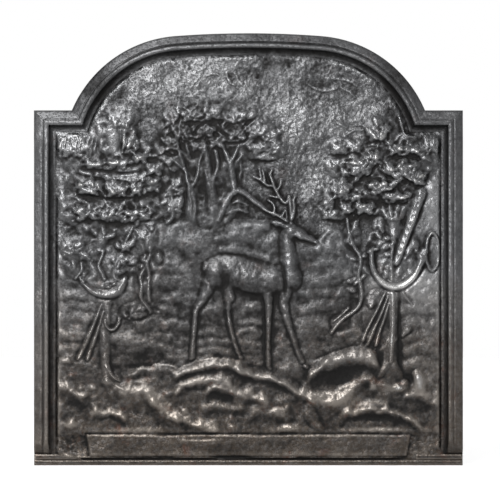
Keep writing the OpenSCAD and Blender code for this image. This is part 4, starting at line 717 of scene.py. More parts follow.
# the ground, fold below fold down to the foot
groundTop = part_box("tablet")[1].z / mm + 2
ground = dict(
    left=-98, right=74,  # where the three pieces of ground meet
    skyline=[(-272, 147), (-262, 155), (-240, 157), (-222, 147), (-200, 139), (-185, 133), (-172, 132),
             (-152, 137), (-130, 144), (-112, 142), (-98, 137), (-80, 145), (-60, 149), (-30, 151),
             (-12, 147), (10, 142), (28, 143), (44, 134), (60, 121), (72, 111), (78, 120), (88, 145),
             (100, 151), (115, 155), (128, 162), (142, 166), (160, 165), (176, 161), (186, 149), (194, 137),
             (206, 127), (226, 127), (240, 136), (252, 130), (272, 114)],
    # each fold: how wide it rises above its crest, how wide it falls below, its height, then the crest (x, z)
    folds=[(9, 10, 2.7,
            [(-108, 120), (-97, 129), (-85, 133), (-71, 137), (-59, 141), (-45, 142), (-33, 140),
             (-20, 140), (-4, 132)]),
           (5, 9, 2.6,
            [(-22, 136), (-5, 130), (6, 128), (16, 127), (27, 124), (39, 119), (51, 116), (60, 111),
             (67, 104), (77, 100), (86, 94), (94, 90)]),
           (9, 22, 2.8,
            [(80, 96), (97, 91), (109, 89), (118, 89), (126, 92), (135, 98), (141, 104), (146, 111),
             (153, 118), (163, 122), (172, 119), (182, 112)]),
           (8, 7, 2.4,
            [(-108, 94), (-98, 105), (-89, 111), (-75, 115), (-63, 118), (-50, 121), (-43, 119), (-33, 118),
             (-20, 110)]),
           (8, 14, 2.5,
            [(-66, 100), (-54, 107), (-45, 110), (-33, 107), (-24, 105), (-19, 99), (-8, 97), (4, 98),
             (16, 94), (30, 88)]),
           (8, 8, 2.4, [(-110, 72), (-98, 66), (-89, 64), (-78, 59), (-64, 55), (-52, 50), (-38, 46)]),
           (9, 20, 2.2,
            [(-206, 122), (-196, 119), (-185, 112), (-178, 107), (-169, 104), (-159, 105), (-148, 107),
             (-140, 102), (-133, 94), (-127, 85), (-119, 77), (-110, 71), (-104, 66), (-92, 58)]),
           (2.6, 3, 0.7, [(-146, 112), (-138, 107), (-129, 99), (-120, 92), (-110, 84), (-102, 74)]),
           (8, 6, 1.7, [(-162, 129), (-150, 134), (-138, 138), (-124, 141), (-112, 142), (-100, 136)]),
           (3, 4, 1, [(-130, 132), (-115, 136), (-106, 132), (-96, 124)]),
           (6, 8, 2.2, [(-226, 68), (-213, 74), (-203, 72), (-192, 74), (-182, 70), (-166, 62)]),
           (11, 20, 3.4,
            [(78, 124), (93, 135), (107, 141), (121, 144), (135, 150), (149, 153), (160, 153), (172, 150),
             (188, 138)]),
           (2.6, 3, 0.9,
            [(84, 103), (93, 100), (104, 98), (114, 99), (125, 103), (134, 108), (141, 113), (152, 120)]),
           (6, 8, 2.6,
            [(166, 104), (179, 111), (191, 112), (202, 109), (210, 108), (217, 112), (228, 122)]),
           (4, 10, 2.8,
            [(124, 66), (137, 72), (148, 74), (160, 78), (172, 79), (184, 78), (194, 78), (200, 74),
             (209, 73), (218, 69), (226, 65), (234, 60), (248, 50)]),
           (3, 4, 1.1, [(148, 84), (165, 88), (180, 89), (200, 88)]),
           (8, 10, 1.4, [(-72, 78), (-48, 84), (-28, 83), (-2, 79)]),
           (8, 10, 1.6, [(-272, 112), (-256, 108), (-244, 100), (-226, 90)]),
           (7, 9, 1.6, [(214, 96), (236, 100), (254, 92), (272, 84)]),
           (7, 9, 1.4, [(-2, 70), (16, 74), (36, 72), (58, 66)])],
    domes=[(-135, 88, 12, 8, -45, 1.6), (-113, 100, 6, 5, 0, 1.6), (-89, 77, 9, 7, 0, 2.2),
           (-236, 108, 8, 4, 0, 1.8), (-218, 109, 8, 5, 0, 2.2), (-229, 98, 8, 4, 0, 2),
           (-216, 94, 6, 3, 0, 1.4), (-216, 85, 8, 4, 0, 1.6), (-248, 58, 13, 9, 10, 2.4),
           (-256, 148, 14, 7, 0, 2), (-250, 126, 6, 4, 0, 1.6), (-199, 118, 9, 8, 0, 2.6),
           (238, 119, 10, 17, 20, 3), (22, 89, 15, 12, 0, 2), (44, 90, 8, 6, 0, 1.4),
           (53, 81, 6, 8, 0, 1.4), (58, 53, 15, 6, 0, 2.2), (178, 84, 20, 6, 0, 1.6),
           (-22, 53, 10, 6, 0, 1.6), (212, 108, 9, 5, 0, 1.8), (-40, 100, 10, 4, -20, 1),
           (176, 60, 30, 5, 0, 0.8), (-192, 98, 7, 11, 10, 1.4), (240, 62, 10, 7, 0, 1.6)],
    hollows=[(-70, 108, 12, 6, 0, 2), (130, 124, 40, 14, 18, 0.7), (-40, 95, 24, 9, 0, 1.2),
             (-150, 76, 34, 13, -20, 0.9), (-186, 92, 14, 14, 0, 0.4), (110, 80, 42, 8, -28, 0.7),
             (176, 65, 34, 7, 0, 0.9), (-156, 122, 34, 5, 10, 1.2), (44, 106, 20, 5, -36, 1.6),
             (8, 119, 26, 5, 0, 1.8), (-70, 127, 34, 4, 14, 1.4), (224, 126, 6, 18, 36, 3.2),
             (206, 128, 4, 11, -40, 1.6), (-20, 72, 24, 6, 0, 1)],
    # sharp wrinkles: half width, height, points
    wrinkles=[(2, 0.9, (-192, 116), (-184, 112), (-176, 107), (-168, 104)),
              (2, 0.8, (-62, 118), (-50, 122), (-42, 120), (-34, 119)),
              (4.2, -2.6, (70, 98), (71, 85), (72, 73), (78, 62), (84, 54), (90, 47)),
              (9, 2, (82, 84), (86, 72), (93, 61), (102, 52)), (2.4, 1.2, (194, 88), (195, 82), (194, 77)),
              (2, 1, (-188, 132), (-183, 124), (-176, 119)), (2, 0.9, (30, 123), (42, 118), (56, 113)),
              (2, 0.9, (-52, 110), (-40, 109), (-28, 106)), (2, 1, (178, 113), (190, 113), (204, 110)),
              (2.2, 1, (146, 75), (160, 79), (176, 80), (190, 79))],
    # tufts of short strokes: first x, last x, foot z, length
    tufts=[(-176, -112, 50, 6), (42, 72, 49, 6), (-94, -74, 60, 8), (-34, -6, 47, 5), (204, 228, 62, 8),
           (-30, 0, 62, 7)])
groundForm = dict(base=1.5, rise=2.4, swell=1.3, smoothing=1.9, grain=[(0.14, 64, 1.8), (0.12, 65, 3.2)],
                  tuftPitch=4.3, tuftWidth=1.6, tuftHeight=0.9)
foldPaintedLightAndShade = []  # painted highlight on the folds above their crests and painted shade below them


def foldOnto(layer, soft, rise, fall, high, crest):
    # soft fold of land: it rises towards its crest and falls away below
    run = curveThrough(crest, 4)
    below = np.interp(gx, run[:, 0], run[:, 1]) - gz + soft
    ends = smoothStep(run[0, 0], run[0, 0] + 9, gx) * smoothStep(run[-1, 0], run[-1, 0] - 9, gx)
    rising = np.clip(1 + below / (1.5 * rise), 0, 1)
    falling = 1 - smoothStep(0, 1.1 * fall, below)
    layer += 1.1 * high * ends * rising * falling
    # painted highlight on the face above the crest, turned up to the light, and painted shade on the face
    # falling below it
    foldPaintedLightAndShade.append(ends * np.exp(-((below + 0.4 * rise) / (0.8 * rise)) ** 2))
    foldPaintedLightAndShade.append(-0.4 * ends * smoothStep(0, 0.8 * fall, below) * (1 - smoothStep(fall, 2 * fall, below)))


def groundLayer():
    soft = noiseMix((1, 61, 4.5), (0.5, 62, 2.4))
    depth = np.interp(gx, *np.array(ground["skyline"]).T) - gz + soft
    layer = groundForm["base"] + groundForm["rise"] * smoothStep(0, 12, depth)
    for one in ground["folds"]:
        foldOnto(layer, 1.4 * soft, *one)
    for sign, forms in ((1, ground["domes"]), (-1, ground["hollows"])):
        for one in forms:
            bump = np.zeros_like(gx)
            dome(bump, *one, roundness=1.3)
            layer += groundForm["swell"] * sign * bump
    layer = blur(layer, groundForm["smoothing"])
    for width, high, *points in ground["wrinkles"]:
        addLine(layer, width, high, points)
    for first, last, foot, length in ground["tufts"]:
        for i, x in enumerate(np.arange(first, last, groundForm["tuftPitch"])):
            tip = (x + 1.6 * math.sin(2.3 * i), foot + length * (0.75 + 0.25 * math.sin(1.7 * i)))
            addLine(layer, groundForm["tuftWidth"], groundForm["tuftHeight"], [(x, foot), tip])
    layer += 0.2 * soft + noiseMix(*groundForm["grain"])
    layer = np.where(depth > 0, np.maximum(layer, 0.6), 0) * (gz > groundTop - 4)
    return layer * (smoothStep(groundTop - 3, groundTop + 1, gz) * 0.4 + 0.6)


land = groundLayer()
# low smooth land at the foot, under the tablet and into the corners
footTop = 60
footLand = 1.7 * smoothStep(footTop, footTop - 14, gz) + 0.3 * noiseSheet(63, 8)
height = np.maximum(height, np.where(gz < footTop, footLand, 0))
for name, part in (("ground_left", gx < ground["left"]),
                   ("ground_centre", (gx >= ground["left"]) & (gx < ground["right"])),
                   ("ground_right", gx >= ground["right"])):
    lay(name, np.where(part, land, 0), trench=0, lift=0.12)

# the figures that stand in front of it
lay("left_trunk", 0.9 * carve(leftTrunk), trench=0.45, melt=True)
lay("right_trunk", 0.9 * carve(rightTrunk), trench=0.6, melt=True)
lay("left_crown", carve(leftCrown), lift=0.1)
lay("right_crown", carve(rightCrown), lift=0.1)
for name, form in (("left_ribbon", leftRibbon), ("left_quiver", leftQuiver), ("left_spears", leftSpears),
                   ("left_horn", leftHorn), ("right_arrows", rightArrows)):
    lay(name, 0.78 * carve(form))
lay("right_quiver", 0.74 * carve(rightQuiver), lift=0.1)
lay("right_baton", 0.86 * carve(rightBaton), trench=0.5, lift=0.1)
lay("right_horn", 0.86 * carve(rightHorn), trench=0.5, lift=0.1)
lay("stag", 0.9 * blur(carve(stag), 1.0), trench=0.4, spread=1.8, lift=0, melt=True)
lay("antlers", 0.85 * carve(antlers), trench=0.4, lift=0.3)
print("figures", len(nodeNames))

# blank tablet at the foot
tabletLow, tabletHigh = (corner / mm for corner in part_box("tablet"))
tablet = dict(slant=6, edge=3.2, thick=plate["fieldY"] - tabletLow.y, sunk=0.9, lip=0.8, lipWidth=1.6)


def tabletLayer():
    wobble = 0.7 * noiseSheet(31, 9)
    end = np.interp(gz, [tabletLow.z, tabletHigh.z], [tabletHigh.x - tablet["slant"], tabletHigh.x])
    inX = end - np.abs(gx) + 0.6 * wobble
    inZ = np.minimum(gz - tabletLow.z, tabletHigh.z - gz + 0.5 * wobble - 0.5)
    inside = np.minimum(inX, inZ)
    layer = (tablet["thick"] - tablet["sunk"]) * smoothStep(0, tablet["edge"], inside)
    layer += tablet["lip"] * np.exp(-((tabletHigh.z - 1.8 - gz) / tablet["lipWidth"]) ** 2)  # worn top edge
    addLine(layer, 1.3, 1.2, [(-100, 36), (-66, 34), (-30, 37)])
    return np.where(inside > 0, layer, 0)


lay("tablet", tabletLayer(), trench=0.25, spread=1.2, lift=0)


def onNodes(word):
    return np.isin(label, [i for i, name in enumerate(nodeNames) if word in name])


# the cast skin: nothing is crisp, and the sand leaves its grain
skin = dict(
    level=1.3, swells=[(0.9, 7, 18), (0.35, 3, 7), (0.14, 8, 3.4)],  # share, seed and size of each noise
    grain=0.08, stagGrain=0.13, fine=0.03, dust=0.03, skyDust=0.13)
edgeFade = smoothStep(-1, 5, depthIn)
height = blur(height * (0.2 + 0.8 * edgeFade), 1.0)
plain = 1 - 0.75 * smoothStep(1.5, 5, blur(height, 1.6))  # the figures are smoother than what is behind them
height += edgeFade * plain * (skin["level"] + noiseMix(*skin["swells"]))
height += np.where(onNodes("stag"), skin["stagGrain"], skin["grain"] * plain) * noiseSheet(4, 2.2)
height += skin["fine"] * noiseSheet(5, 1.1)
height += np.where(label == 0, skin["skyDust"], skin["dust"]) * noiseSheet(6, 1.5)
# flaws of the casting: a blow hole with its lip, a cold seam and small scabs
castingFlaws = [(3.8, -2.2, (-26, 551), (-24, 544), (-19, 538)),
                (2, 1.1, (-31, 550), (-29, 542), (-24, 535), (-17, 533)),
                (1.6, 0.8, (-20, 550), (-16, 545), (-14, 539)), (2.6, -1, (13, 550), (14, 544), (12, 538)),
                (3.2, -1.2, (84, 541), (94, 534), (106, 531), (120, 533)),
                (2.6, -1, (122, 537), (136, 534), (148, 527), (156, 519)),
                (2.4, 0.9, (82, 535), (94, 528), (108, 525), (124, 528)),
                (2, 0.8, (130, 529), (142, 523), (150, 515)),
                (2.6, 0.8, (108, 542), (124, 542), (140, 539), (152, 531)),
                (2.4, -0.8, (120, 492), (126, 486), (136, 480)),
                (2, 0.7, (118, 487), (126, 479), (138, 473)), (2, 0.8, (-60, 545), (-48, 549), (-38, 545)),
                (2.6, -0.8, (-118, 505), (-106, 510), (-92, 506)),
                (2.4, -0.8, (-6, 500), (8, 503), (24, 498))]
flaws = np.zeros_like(gx)
for width, high, *points in castingFlaws:
    addLine(flaws, width, high, points)
height = np.clip(height + flaws, 0.05, 10.9)
height *= smoothStep(-sheet["under"], 1, depthIn)  # runs out flush under the cove
height[gz < footLine + 1.5 * sheet["step"]] = 0
print("relief up to", round(float(height.max()), 1), "mm")

# which node each cell of the sheet belongs to
cells = label[:-1, :-1].copy()
cells[~(picture[:-1, :-1] & picture[1:, :-1] & picture[:-1, 1:] & picture[1:, 1:])] = -1


def tidyCells():
    # no lone cells, and no piece that touches itself only at a corner
    for _ in range(3):
        same = np.zeros(cells.shape, int)
        for axis, shift in ((0, 1), (0, -1), (1, 1), (1, -1)):
            same += np.roll(cells, shift, axis) == cells
        beside = np.roll(cells, 1, 1)
        lone = (same < 2) & (cells >= 0) & (beside >= 0)
        cells[lone] = beside[lone]
    for _ in range(40):
        a, b, c, d = cells[:-1, :-1], cells[:-1, 1:], cells[1:, :-1], cells[1:, 1:]
        first = (a == d) & (b != a) & (c != a)
        second = (b == c) & (a != b) & (d != b) & ~first
        if not first.any() and not second.any():
            break
        rows, cols = np.nonzero(first)
        cells[rows, cols + 1] = cells[rows, cols]
        rows, cols = np.nonzero(second)
        cells[rows, cols] = cells[rows, cols + 1]


tidyCells()

slopeZ, slopeX = np.gradient(height, sheet["step"])
normals = np.stack([-slopeX, -np.ones_like(gx), -slopeZ], axis=-1)
normals /= np.linalg.norm(normals, axis=-1, keepdims=True)
# where polish is rubbed bright on crests and soot stays in hollows, with painted shade in the hollows and on
# undersides and painted highlight on faces turned up
edgeWearAndPaintedLight = np.clip((height - blur(height, 2.6)) / 1.4 + 0.5 * normals[..., 2], -1, 1)
edgeWearAndPaintedLight *= np.where(onNodes("ground"), 0.7, 1) * np.where(onNodes("crown"), 0.85, 1)
# broad highs lighter and broad hollows darker: rubbed polish on the highs and painted shade in the hollows,
# stronger on the crowns and foliage; the stag a little darker all over
broadWearAndPaintedShade = np.clip((height - blur(height, 9)) / 3.2, -1, 1) - 0.35 * onNodes("stag")
broadWearAndPaintedShade *= np.where(onNodes("crown") | onNodes("foliage"), 1.9, 1)
# places made brighter or darker than the rest, partly rubbed polish and soot and partly painted light and
# shade, such as the brighter upper sky and left stile and the dark inside of the horn's bell: x, z, half
# width, half height, how much
wearAndPaintedLightSpots = [(-60, 525, 80, 45, 0.7), (40, 505, 90, 50, 0.5), (110, 430, 60, 70, 0.5),
           (120, 540, 40, 16, -0.4), (60, 560, 60, 12, -0.2), (-240, 455, 30, 16, 1.5),
           (-220, 400, 50, 26, 0.2), (-170, 430, 40, 50, 0.2), (257, 365, 11, 40, 2),
           (246, 248, 22, 30, 1.9), (240, 190, 26, 24, 0.4), (215, 405, 36, 20, 0.4),
           (175, 440, 40, 30, 0.3), (212, 290, 44, 44, 0.4), (240, 118, 10, 16, 2.4),
           (200, 107, 20, 5, 2.2), (211, 152, 5, 26, -1.6), (224, 124, 7, 12, -1.4),
           (182, 150, 5, 20, -1.2), (136, 90, 32, 14, 1.7), (-60, 137, 40, 10, -0.2),
           (-140, 96, 18, 14, 0.3), (-155, 152, 40, 14, -0.7), (176, 64, 36, 9, -0.4),
           (131, 125, 40, 13, -1), (-150, 76, 30, 14, -0.1), (-40, 94, 24, 9, -0.6),
           (-105, 440, 22, 44, -0.2), (-60, 400, 50, 60, -0.5), (-55, 478, 66, 34, -1.1),
           (0, 300, 50, 40, -0.2), (-20, 190, 80, 50, -0.35), (-130, 220, 40, 60, -0.3),
           (110, 210, 50, 60, -0.2), (0, 27, 90, 12, -0.3), (-168, 90, 30, 13, 1), (-120, 66, 22, 9, 0.4),
           (-248, 58, 16, 8, 0.9), (-222, 104, 14, 9, 0.7), (-235, 80, 30, 22, -0.4),
           (220, 80, 36, 16, -0.3), (255, 300, 6, 24, -1.3), (206, 256, 44, 15, 2.4),
           (215, 305, 6, 18, 1.4), (230, 345, 8, 20, 1.4), (-200, 243, 32, 9, 1.4), (262, 300, 16, 24, 0.5),
           (201.5, 235, 4, 9, 2.4), (201.5, 207, 4, 16, 1.5), (200, 176, 4, 10, 2.2),
           (209.5, 200, 3.6, 44, -1.8), (-160, 43, 60, 3, 1.3), (-20, 43, 30, 3, 1.3),
           (130, 43, 80, 3, 1.1), (-65, 34, 36, 3, 1.2), (180, 51, 40, 3, 1.4), (-150, 50, 40, 4, 1.2),
           (58, 53, 20, 6, 1.2), (-36, 284, 24, 12, 0.6), (-54, 280, 6, 6, -0.5), (-2, 274, 26, 8, 0.4),
           (14, 262, 22, 12, 0.5), (10, 286, 40, 8, 0.5), (-34, 264, 10, 18, -0.7), (57, 290, 7, 32, 0.9),
           (-190, 458, 10, 22, 1.5), (-177, 460, 4, 18, 1.2), (30, 190, 9, 60, -0.5),
           (-290, 300, 22, 300, 0.6), (-255, 475, 40, 20, 0.5), (288, 300, 16, 300, 0.1),
           (0, 590, 200, 20, -0.3), (-212, 550, 34, 42, -1.1), (212, 550, 34, 42, -1.1),
           (-160, 530, 40, 34, 0.5), (165, 525, 40, 34, 0.6), (-24, 544, 5, 8, -1.6), (13, 545, 3, 7, -1.4),
           (104, 534, 24, 4, -0.4), (144, 526, 14, 6, -0.8), (275, 300, 6, 260, 0.6)]
# the folds' painted highlight and painted shade, set on the ground pieces and joined by the spots below
landPaintedLightAndShade = blur(np.clip(sum(foldPaintedLightAndShade), -0.8, 1.3), 1.6) - 0.2
wearAndPaintedLight = onNodes("ground") * landPaintedLightAndShade
for x, z, wide, tall, much in wearAndPaintedLightSpots:
    wearAndPaintedLight += much * np.exp(-((gx - x) / wide) ** 2 - ((gz - z) / tall) ** 2)
broadWearAndPaintedShade += wearAndPaintedLight + (label == 0) * noiseMix((0.2, 71, 13), (0.2, 72, 5))  # the sky is rubbed in patches

vertexId = np.arange(rowCount * colCount).reshape(rowCount, colCount)
topPoints = np.stack([gx, plate["fieldY"] - height, gz], axis=-1).reshape(-1, 3)
bedPoints = np.stack([gx, np.full_like(gx, plate["fieldY"] + plate["recess"]), gz], axis=-1).reshape(-1, 3)
pointCount = len(topPoints)


def cellQuads(mask):
    r, c = np.nonzero(mask)
    return np.stack([vertexId[r, c], vertexId[r, c + 1], vertexId[r + 1, c + 1], vertexId[r + 1, c]], axis=1)


def rimEdges(mask, outside=None):
    # directed edges round the masked cells, with the cells on their left
    pad = np.pad(mask, 1)
    other = ~pad if outside is None else np.pad(outside, 1)
    edges = []
    for dr, dc, p, q in ((-1, 0, (0, 0), (0, 1)), (0, 1, (0, 1), (1, 1)),
                         (1, 0, (1, 1), (1, 0)), (0, -1, (1, 0), (0, 0))):
        hit = mask & other[1 + dr:other.shape[0] - 1 + dr, 1 + dc:other.shape[1] - 1 + dc]
        r, c = np.nonzero(hit)
        edges.append(np.stack([vertexId[r + p[0], c + p[1]], vertexId[r + q[0], c + q[1]]], axis=1))
    return np.vstack(edges)


def wallAlong(edges, near, far):
    # quads along directed edges from one sheet of points to another, each given by its first point
    return np.stack([edges[:, 1] + near, edges[:, 0] + near, edges[:, 0] + far, edges[:, 1] + far], axis=1)


def cellAt(field, x, z):
    r, c = int(z / sheet["step"]), int((x - xs[0]) / sheet["step"])
    return field[min(r, field.shape[0] - 1), min(c, field.shape[1] - 1)]


def flatRing(loopEdges):
    # grid points on closed rings of edges: their ids, where they lie, and the edges between them
    ids = np.unique(loopEdges)
    spot = {v: i for i, v in enumerate(ids)}
    flat = [Vector((float(gx.flat[v]), float(gz.flat[v]))) for v in ids]
    return ids, flat, [(spot[a], spot[b]) for a, b in loopEdges]


def trianglesIn(flat, edges, mask=None, wanted=True):
    # triangles over flat points that respect the edges; the mask's cells say which of them stay
    done = delaunay_2d_cdt(flat, edges, [], 1, 1e-4)
    kept = []
    for face in done[2]:
        corners = [done[3][v][0] for v in face]
        x = sum(flat[v].x for v in corners) / 3
        z = sum(flat[v].y for v in corners) / 3
        if mask is None or cellAt(mask, x, z) == wanted:
            kept.append(corners)
    return np.array(kept)


def fillInside(loopEdges, mask):
    ids, flat, edges = flatRing(loopEdges)
    return ids[trianglesIn(flat, edges, mask)]


def newObject(name, data):
    made = bpy.data.objects.new(name, data)
    bpy.context.scene.collection.objects.link(made)
    return made


def buildMesh(name, points, faceLists, normalOf=None):
    # points in millimetres; faceLists are arrays of equal-sided faces; normalOf smooths the first of them
    used = np.unique(np.concatenate([f.ravel() for f in faceLists]))
    remap = np.zeros(len(points), int)
    remap[used] = np.arange(len(used))
    mesh = bpy.data.meshes.new(name)
    loops = np.concatenate([remap[f].ravel() for f in faceLists])
    sizes = np.concatenate([np.full(len(f), f.shape[1]) for f in faceLists])
    mesh.vertices.add(len(used))
    mesh.vertices.foreach_set("co", (points[used] * mm).ravel())
    mesh.loops.add(len(loops))
    mesh.loops.foreach_set("vertex_index", loops)
    mesh.polygons.add(len(sizes))
    mesh.polygons.foreach_set("loop_start", np.concatenate([[0], np.cumsum(sizes)[:-1]]))
    mesh.update(calc_edges=True)
    mesh.validate()
    mesh.polygons.foreach_set("use_smooth", np.ones(len(sizes), bool))
    if normalOf is not None:
        flat = np.zeros(len(sizes) * 3)
        mesh.polygons.foreach_get("normal", flat)
        perLoop = np.repeat(flat.reshape(-1, 3), sizes, axis=0)
        perLoop[:faceLists[0].size] = normalOf[faceLists[0].ravel()]
        mesh.normals_split_custom_set(perLoop)
    return newObject(name, mesh), used


def addMask(piece, name, values):
    layer = piece.data.attributes.new(name, "FLOAT", "POINT")
    layer.data.foreach_set("value", np.ascontiguousarray(values, dtype=np.float32))


def addRun(piece, run):
    # how far along and across a moulding each point lies, for the drag marks of its polish
    store = piece.data.attributes.new("run", "FLOAT_VECTOR", "POINT")
    store.data.foreach_set("vector", run.astype(np.float32).ravel())


def dress(piece, node, slotName):
    piece.data.materials.append(finishes[slotName])
    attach(piece, "root")
    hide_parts(node)


def skinPiece(node):
    mask = cells == nodeNames.index(node)
    rim = rimEdges(mask)
    under = fillInside(rim, mask)[:, ::-1] + pointCount
    piece, used = buildMesh(node + "_relief", np.vstack([topPoints, bedPoints]),
                            [cellQuads(mask), wallAlong(rim, 0, pointCount), under], normals.reshape(-1, 3))
    addMask(piece, "edge", np.tile(edgeWearAndPaintedLight.ravel(), 2)[used])
    addMask(piece, "broad", np.tile(broadWearAndPaintedShade.ravel(), 2)[used])
    return piece


# materials
def noiseInto(tree, coord, scale, detail, rough):
    node = tree.nodes.new("ShaderNodeTexNoise")
    node.inputs["Scale"].default_value = scale
    node.inputs["Detail"].default_value = detail
    node.inputs["Roughness"].default_value = rough
    tree.links.new(coord, node.inputs["Vector"])
    return node.outputs["Fac"]


def mathInto(tree, how, a, b, clamp=False):
    node = tree.nodes.new("ShaderNodeMath")
    node.operation = how
    node.use_clamp = clamp
    for socket, value in zip(node.inputs, (a, b)):
        if isinstance(value, (int, float)):
            socket.default_value = value
        else:
            tree.links.new(value, socket)
    return node.outputs[0]


def plus(tree, a, b):
    return mathInto(tree, "ADD", a, b)


def minus(tree, a, b):
    return mathInto(tree, "SUBTRACT", a, b)


def times(tree, a, b):
    return mathInto(tree, "MULTIPLY", a, b)


def rampInto(tree, value, low, high):
    node = tree.nodes.new("ShaderNodeMapRange")
    node.interpolation_type = "SMOOTHSTEP"
    tree.links.new(value, node.inputs["Value"])
    node.inputs["From Min"].default_value = low
    node.inputs["From Max"].default_value = high
    return node.outputs["Result"]


def mixInto(tree, factor, a, b):
    node = tree.nodes.new("ShaderNodeMix")
    node.data_type = "RGBA"
    tree.links.new(factor, node.inputs["Factor"])
    for socket, value in ((node.inputs["A"], a), (node.inputs["B"], b)):
        if isinstance(value, tuple):
            socket.default_value = value + (1,)
        else:
            tree.links.new(value, socket)
    return node.outputs["Result"]


def attributeInto(tree, name, output="Fac"):
    node = tree.nodes.new("ShaderNodeAttribute")
    node.attribute_name = name
    return node.outputs[output]


def newGroup(name, values, masks):
    # every group takes the object's coordinates and some values, and gives masks
    tree = bpy.data.node_groups.new(name, "ShaderNodeTree")
    tree.interface.new_socket("Coord", in_out="INPUT", socket_type="NodeSocketVector")
    for title in values:
        tree.interface.new_socket(title, in_out="INPUT", socket_type="NodeSocketFloat")
    for title in masks:
        tree.interface.new_socket(title, in_out="OUTPUT", socket_type="NodeSocketFloat")
    return tree, tree.nodes.new("NodeGroupInput").outputs, tree.nodes.new("NodeGroupOutput").inputs


grainForm = dict(fineScale=480, lumpScale=220, pitScale=420, fineShare=0.35, pitRange=(0.34, 0.44),
                 speckleRange=(0.85, 1.25))


def castGrainGroup():
    # sand grain and small pits of a casting: height for bump, and a speckle mask
    tree, given, out = newGroup("castGrain", ["Grain", "Pits"], ["Height", "Speckle"])
    fine = noiseInto(tree, given["Coord"], grainForm["fineScale"], 3, 0.6)
    lumps = noiseInto(tree, given["Coord"], grainForm["lumpScale"], 2, 0.4)
    pits = noiseInto(tree, given["Coord"], grainForm["pitScale"], 2, 0.5)
    grain = times(tree, plus(tree, times(tree, fine, grainForm["fineShare"]), lumps), given["Grain"])
    sunk = times(tree, rampInto(tree, pits, *grainForm["pitRange"]), given["Pits"])
    tree.links.new(plus(tree, grain, sunk), out["Height"])
    tree.links.new(rampInto(tree, plus(tree, fine, lumps), *grainForm["speckleRange"]), out["Speckle"])
    return tree


polishForm = dict(patchScale=26, smallScale=170, edgeShare=0.75, broadShare=0.35, brokenShare=0.55,
                  wornAndHighlightRange=(0.5, 1.15), bareAndHighlightRange=(1.3, 2.1), sootAndShadeRange=(0.08, 0.6), sootAndShadeLevel=0.28)


def blackPolishGroup():
    # stove polish rubbed bright on the high places and left dull and sooty in the low ones; through the masks
    # it also paints highlight on faces turned up and shade in hollows and undersides, and its bare level is
    # bare metal and painted highlight
    tree, given, out = newGroup("blackPolish", ["Edge", "Broad", "Rub"], ["Worn", "SootAndShade", "BareAndHighlight"])
    patch = noiseInto(tree, given["Coord"], polishForm["patchScale"], 4, 0.6)
    small = noiseInto(tree, given["Coord"], polishForm["smallScale"], 4, 0.65)
    high = plus(tree, times(tree, given["Edge"], polishForm["edgeShare"]),
                times(tree, given["Broad"], polishForm["broadShare"]))
    broken = plus(tree, high, times(tree, plus(tree, patch, small), polishForm["brokenShare"]))
    worn = rampInto(tree, broken, *polishForm["wornAndHighlightRange"])
    tree.links.new(times(tree, worn, given["Rub"]), out["Worn"])
    dull = minus(tree, times(tree, small, 0.5), times(tree, patch, 0.7))
    low = minus(tree, plus(tree, dull, polishForm["sootAndShadeLevel"]), high)
    tree.links.new(rampInto(tree, low, *polishForm["sootAndShadeRange"]), out["SootAndShade"])
    tree.links.new(rampInto(tree, broken, *polishForm["bareAndHighlightRange"]), out["BareAndHighlight"])
    return tree


stainForm = dict(cloudScale=9, cloudHeight=0.25, warmRange=(-0.26, 0.08), rustScale=31,
                 rustRange=(0.56, 0.72), rustLow=0.75, rustHigh=0.12)


def footWarmthAndRustGroup():
    # browner and darker towards the foot, with faint patches of rust
    tree, given, out = newGroup("footWarmthAndRust", ["Reach"], ["Warm", "Rust"])
    split = tree.nodes.new("ShaderNodeSeparateXYZ")
    tree.links.new(given["Coord"], split.inputs[0])
    cloud = noiseInto(tree, given["Coord"], stainForm["cloudScale"], 4, 0.6)
    level = plus(tree, split.outputs["Z"], times(tree, cloud, stainForm["cloudHeight"]))
    low = rampInto(tree, minus(tree, given["Reach"], level), *stainForm["warmRange"])
    specks = noiseInto(tree, given["Coord"], stainForm["rustScale"], 5, 0.68)
    rust = rampInto(tree, specks, *stainForm["rustRange"])
    share = plus(tree, times(tree, low, stainForm["rustLow"]), stainForm["rustHigh"])
    tree.links.new(low, out["Warm"])
    tree.links.new(times(tree, rust, share), out["Rust"])
    return tree


groups = dict(grain=castGrainGroup(), polish=blackPolishGroup(), stain=footWarmthAndRustGroup())
iron = dict(
    # soot stands for soot and painted shade, worn for rubbed polish and painted highlight, bare for bare
    # metal and painted highlight
    sootAndShade=(0.0105, 0.01, 0.0098),
    body=(0.038, 0.0383, 0.0395),
    warmBody=(0.037, 0.0295, 0.0235),
    speckle=(0.095, 0.096, 0.099),
    worn=(0.135, 0.136, 0.139),
    warmWorn=(0.14, 0.122, 0.105),
    bareAndHighlight=(0.29, 0.287, 0.283),
    rust=(0.06, 0.028, 0.018),
    stainReach=0.2,
    metallic=0.9,
    sootDulls=0.25,  # how much rougher soot is, and how much smoother the worn polish
    wornShines=0.1,
    bumpHeight=0.0009,
    bumpStrength=0.8,
)


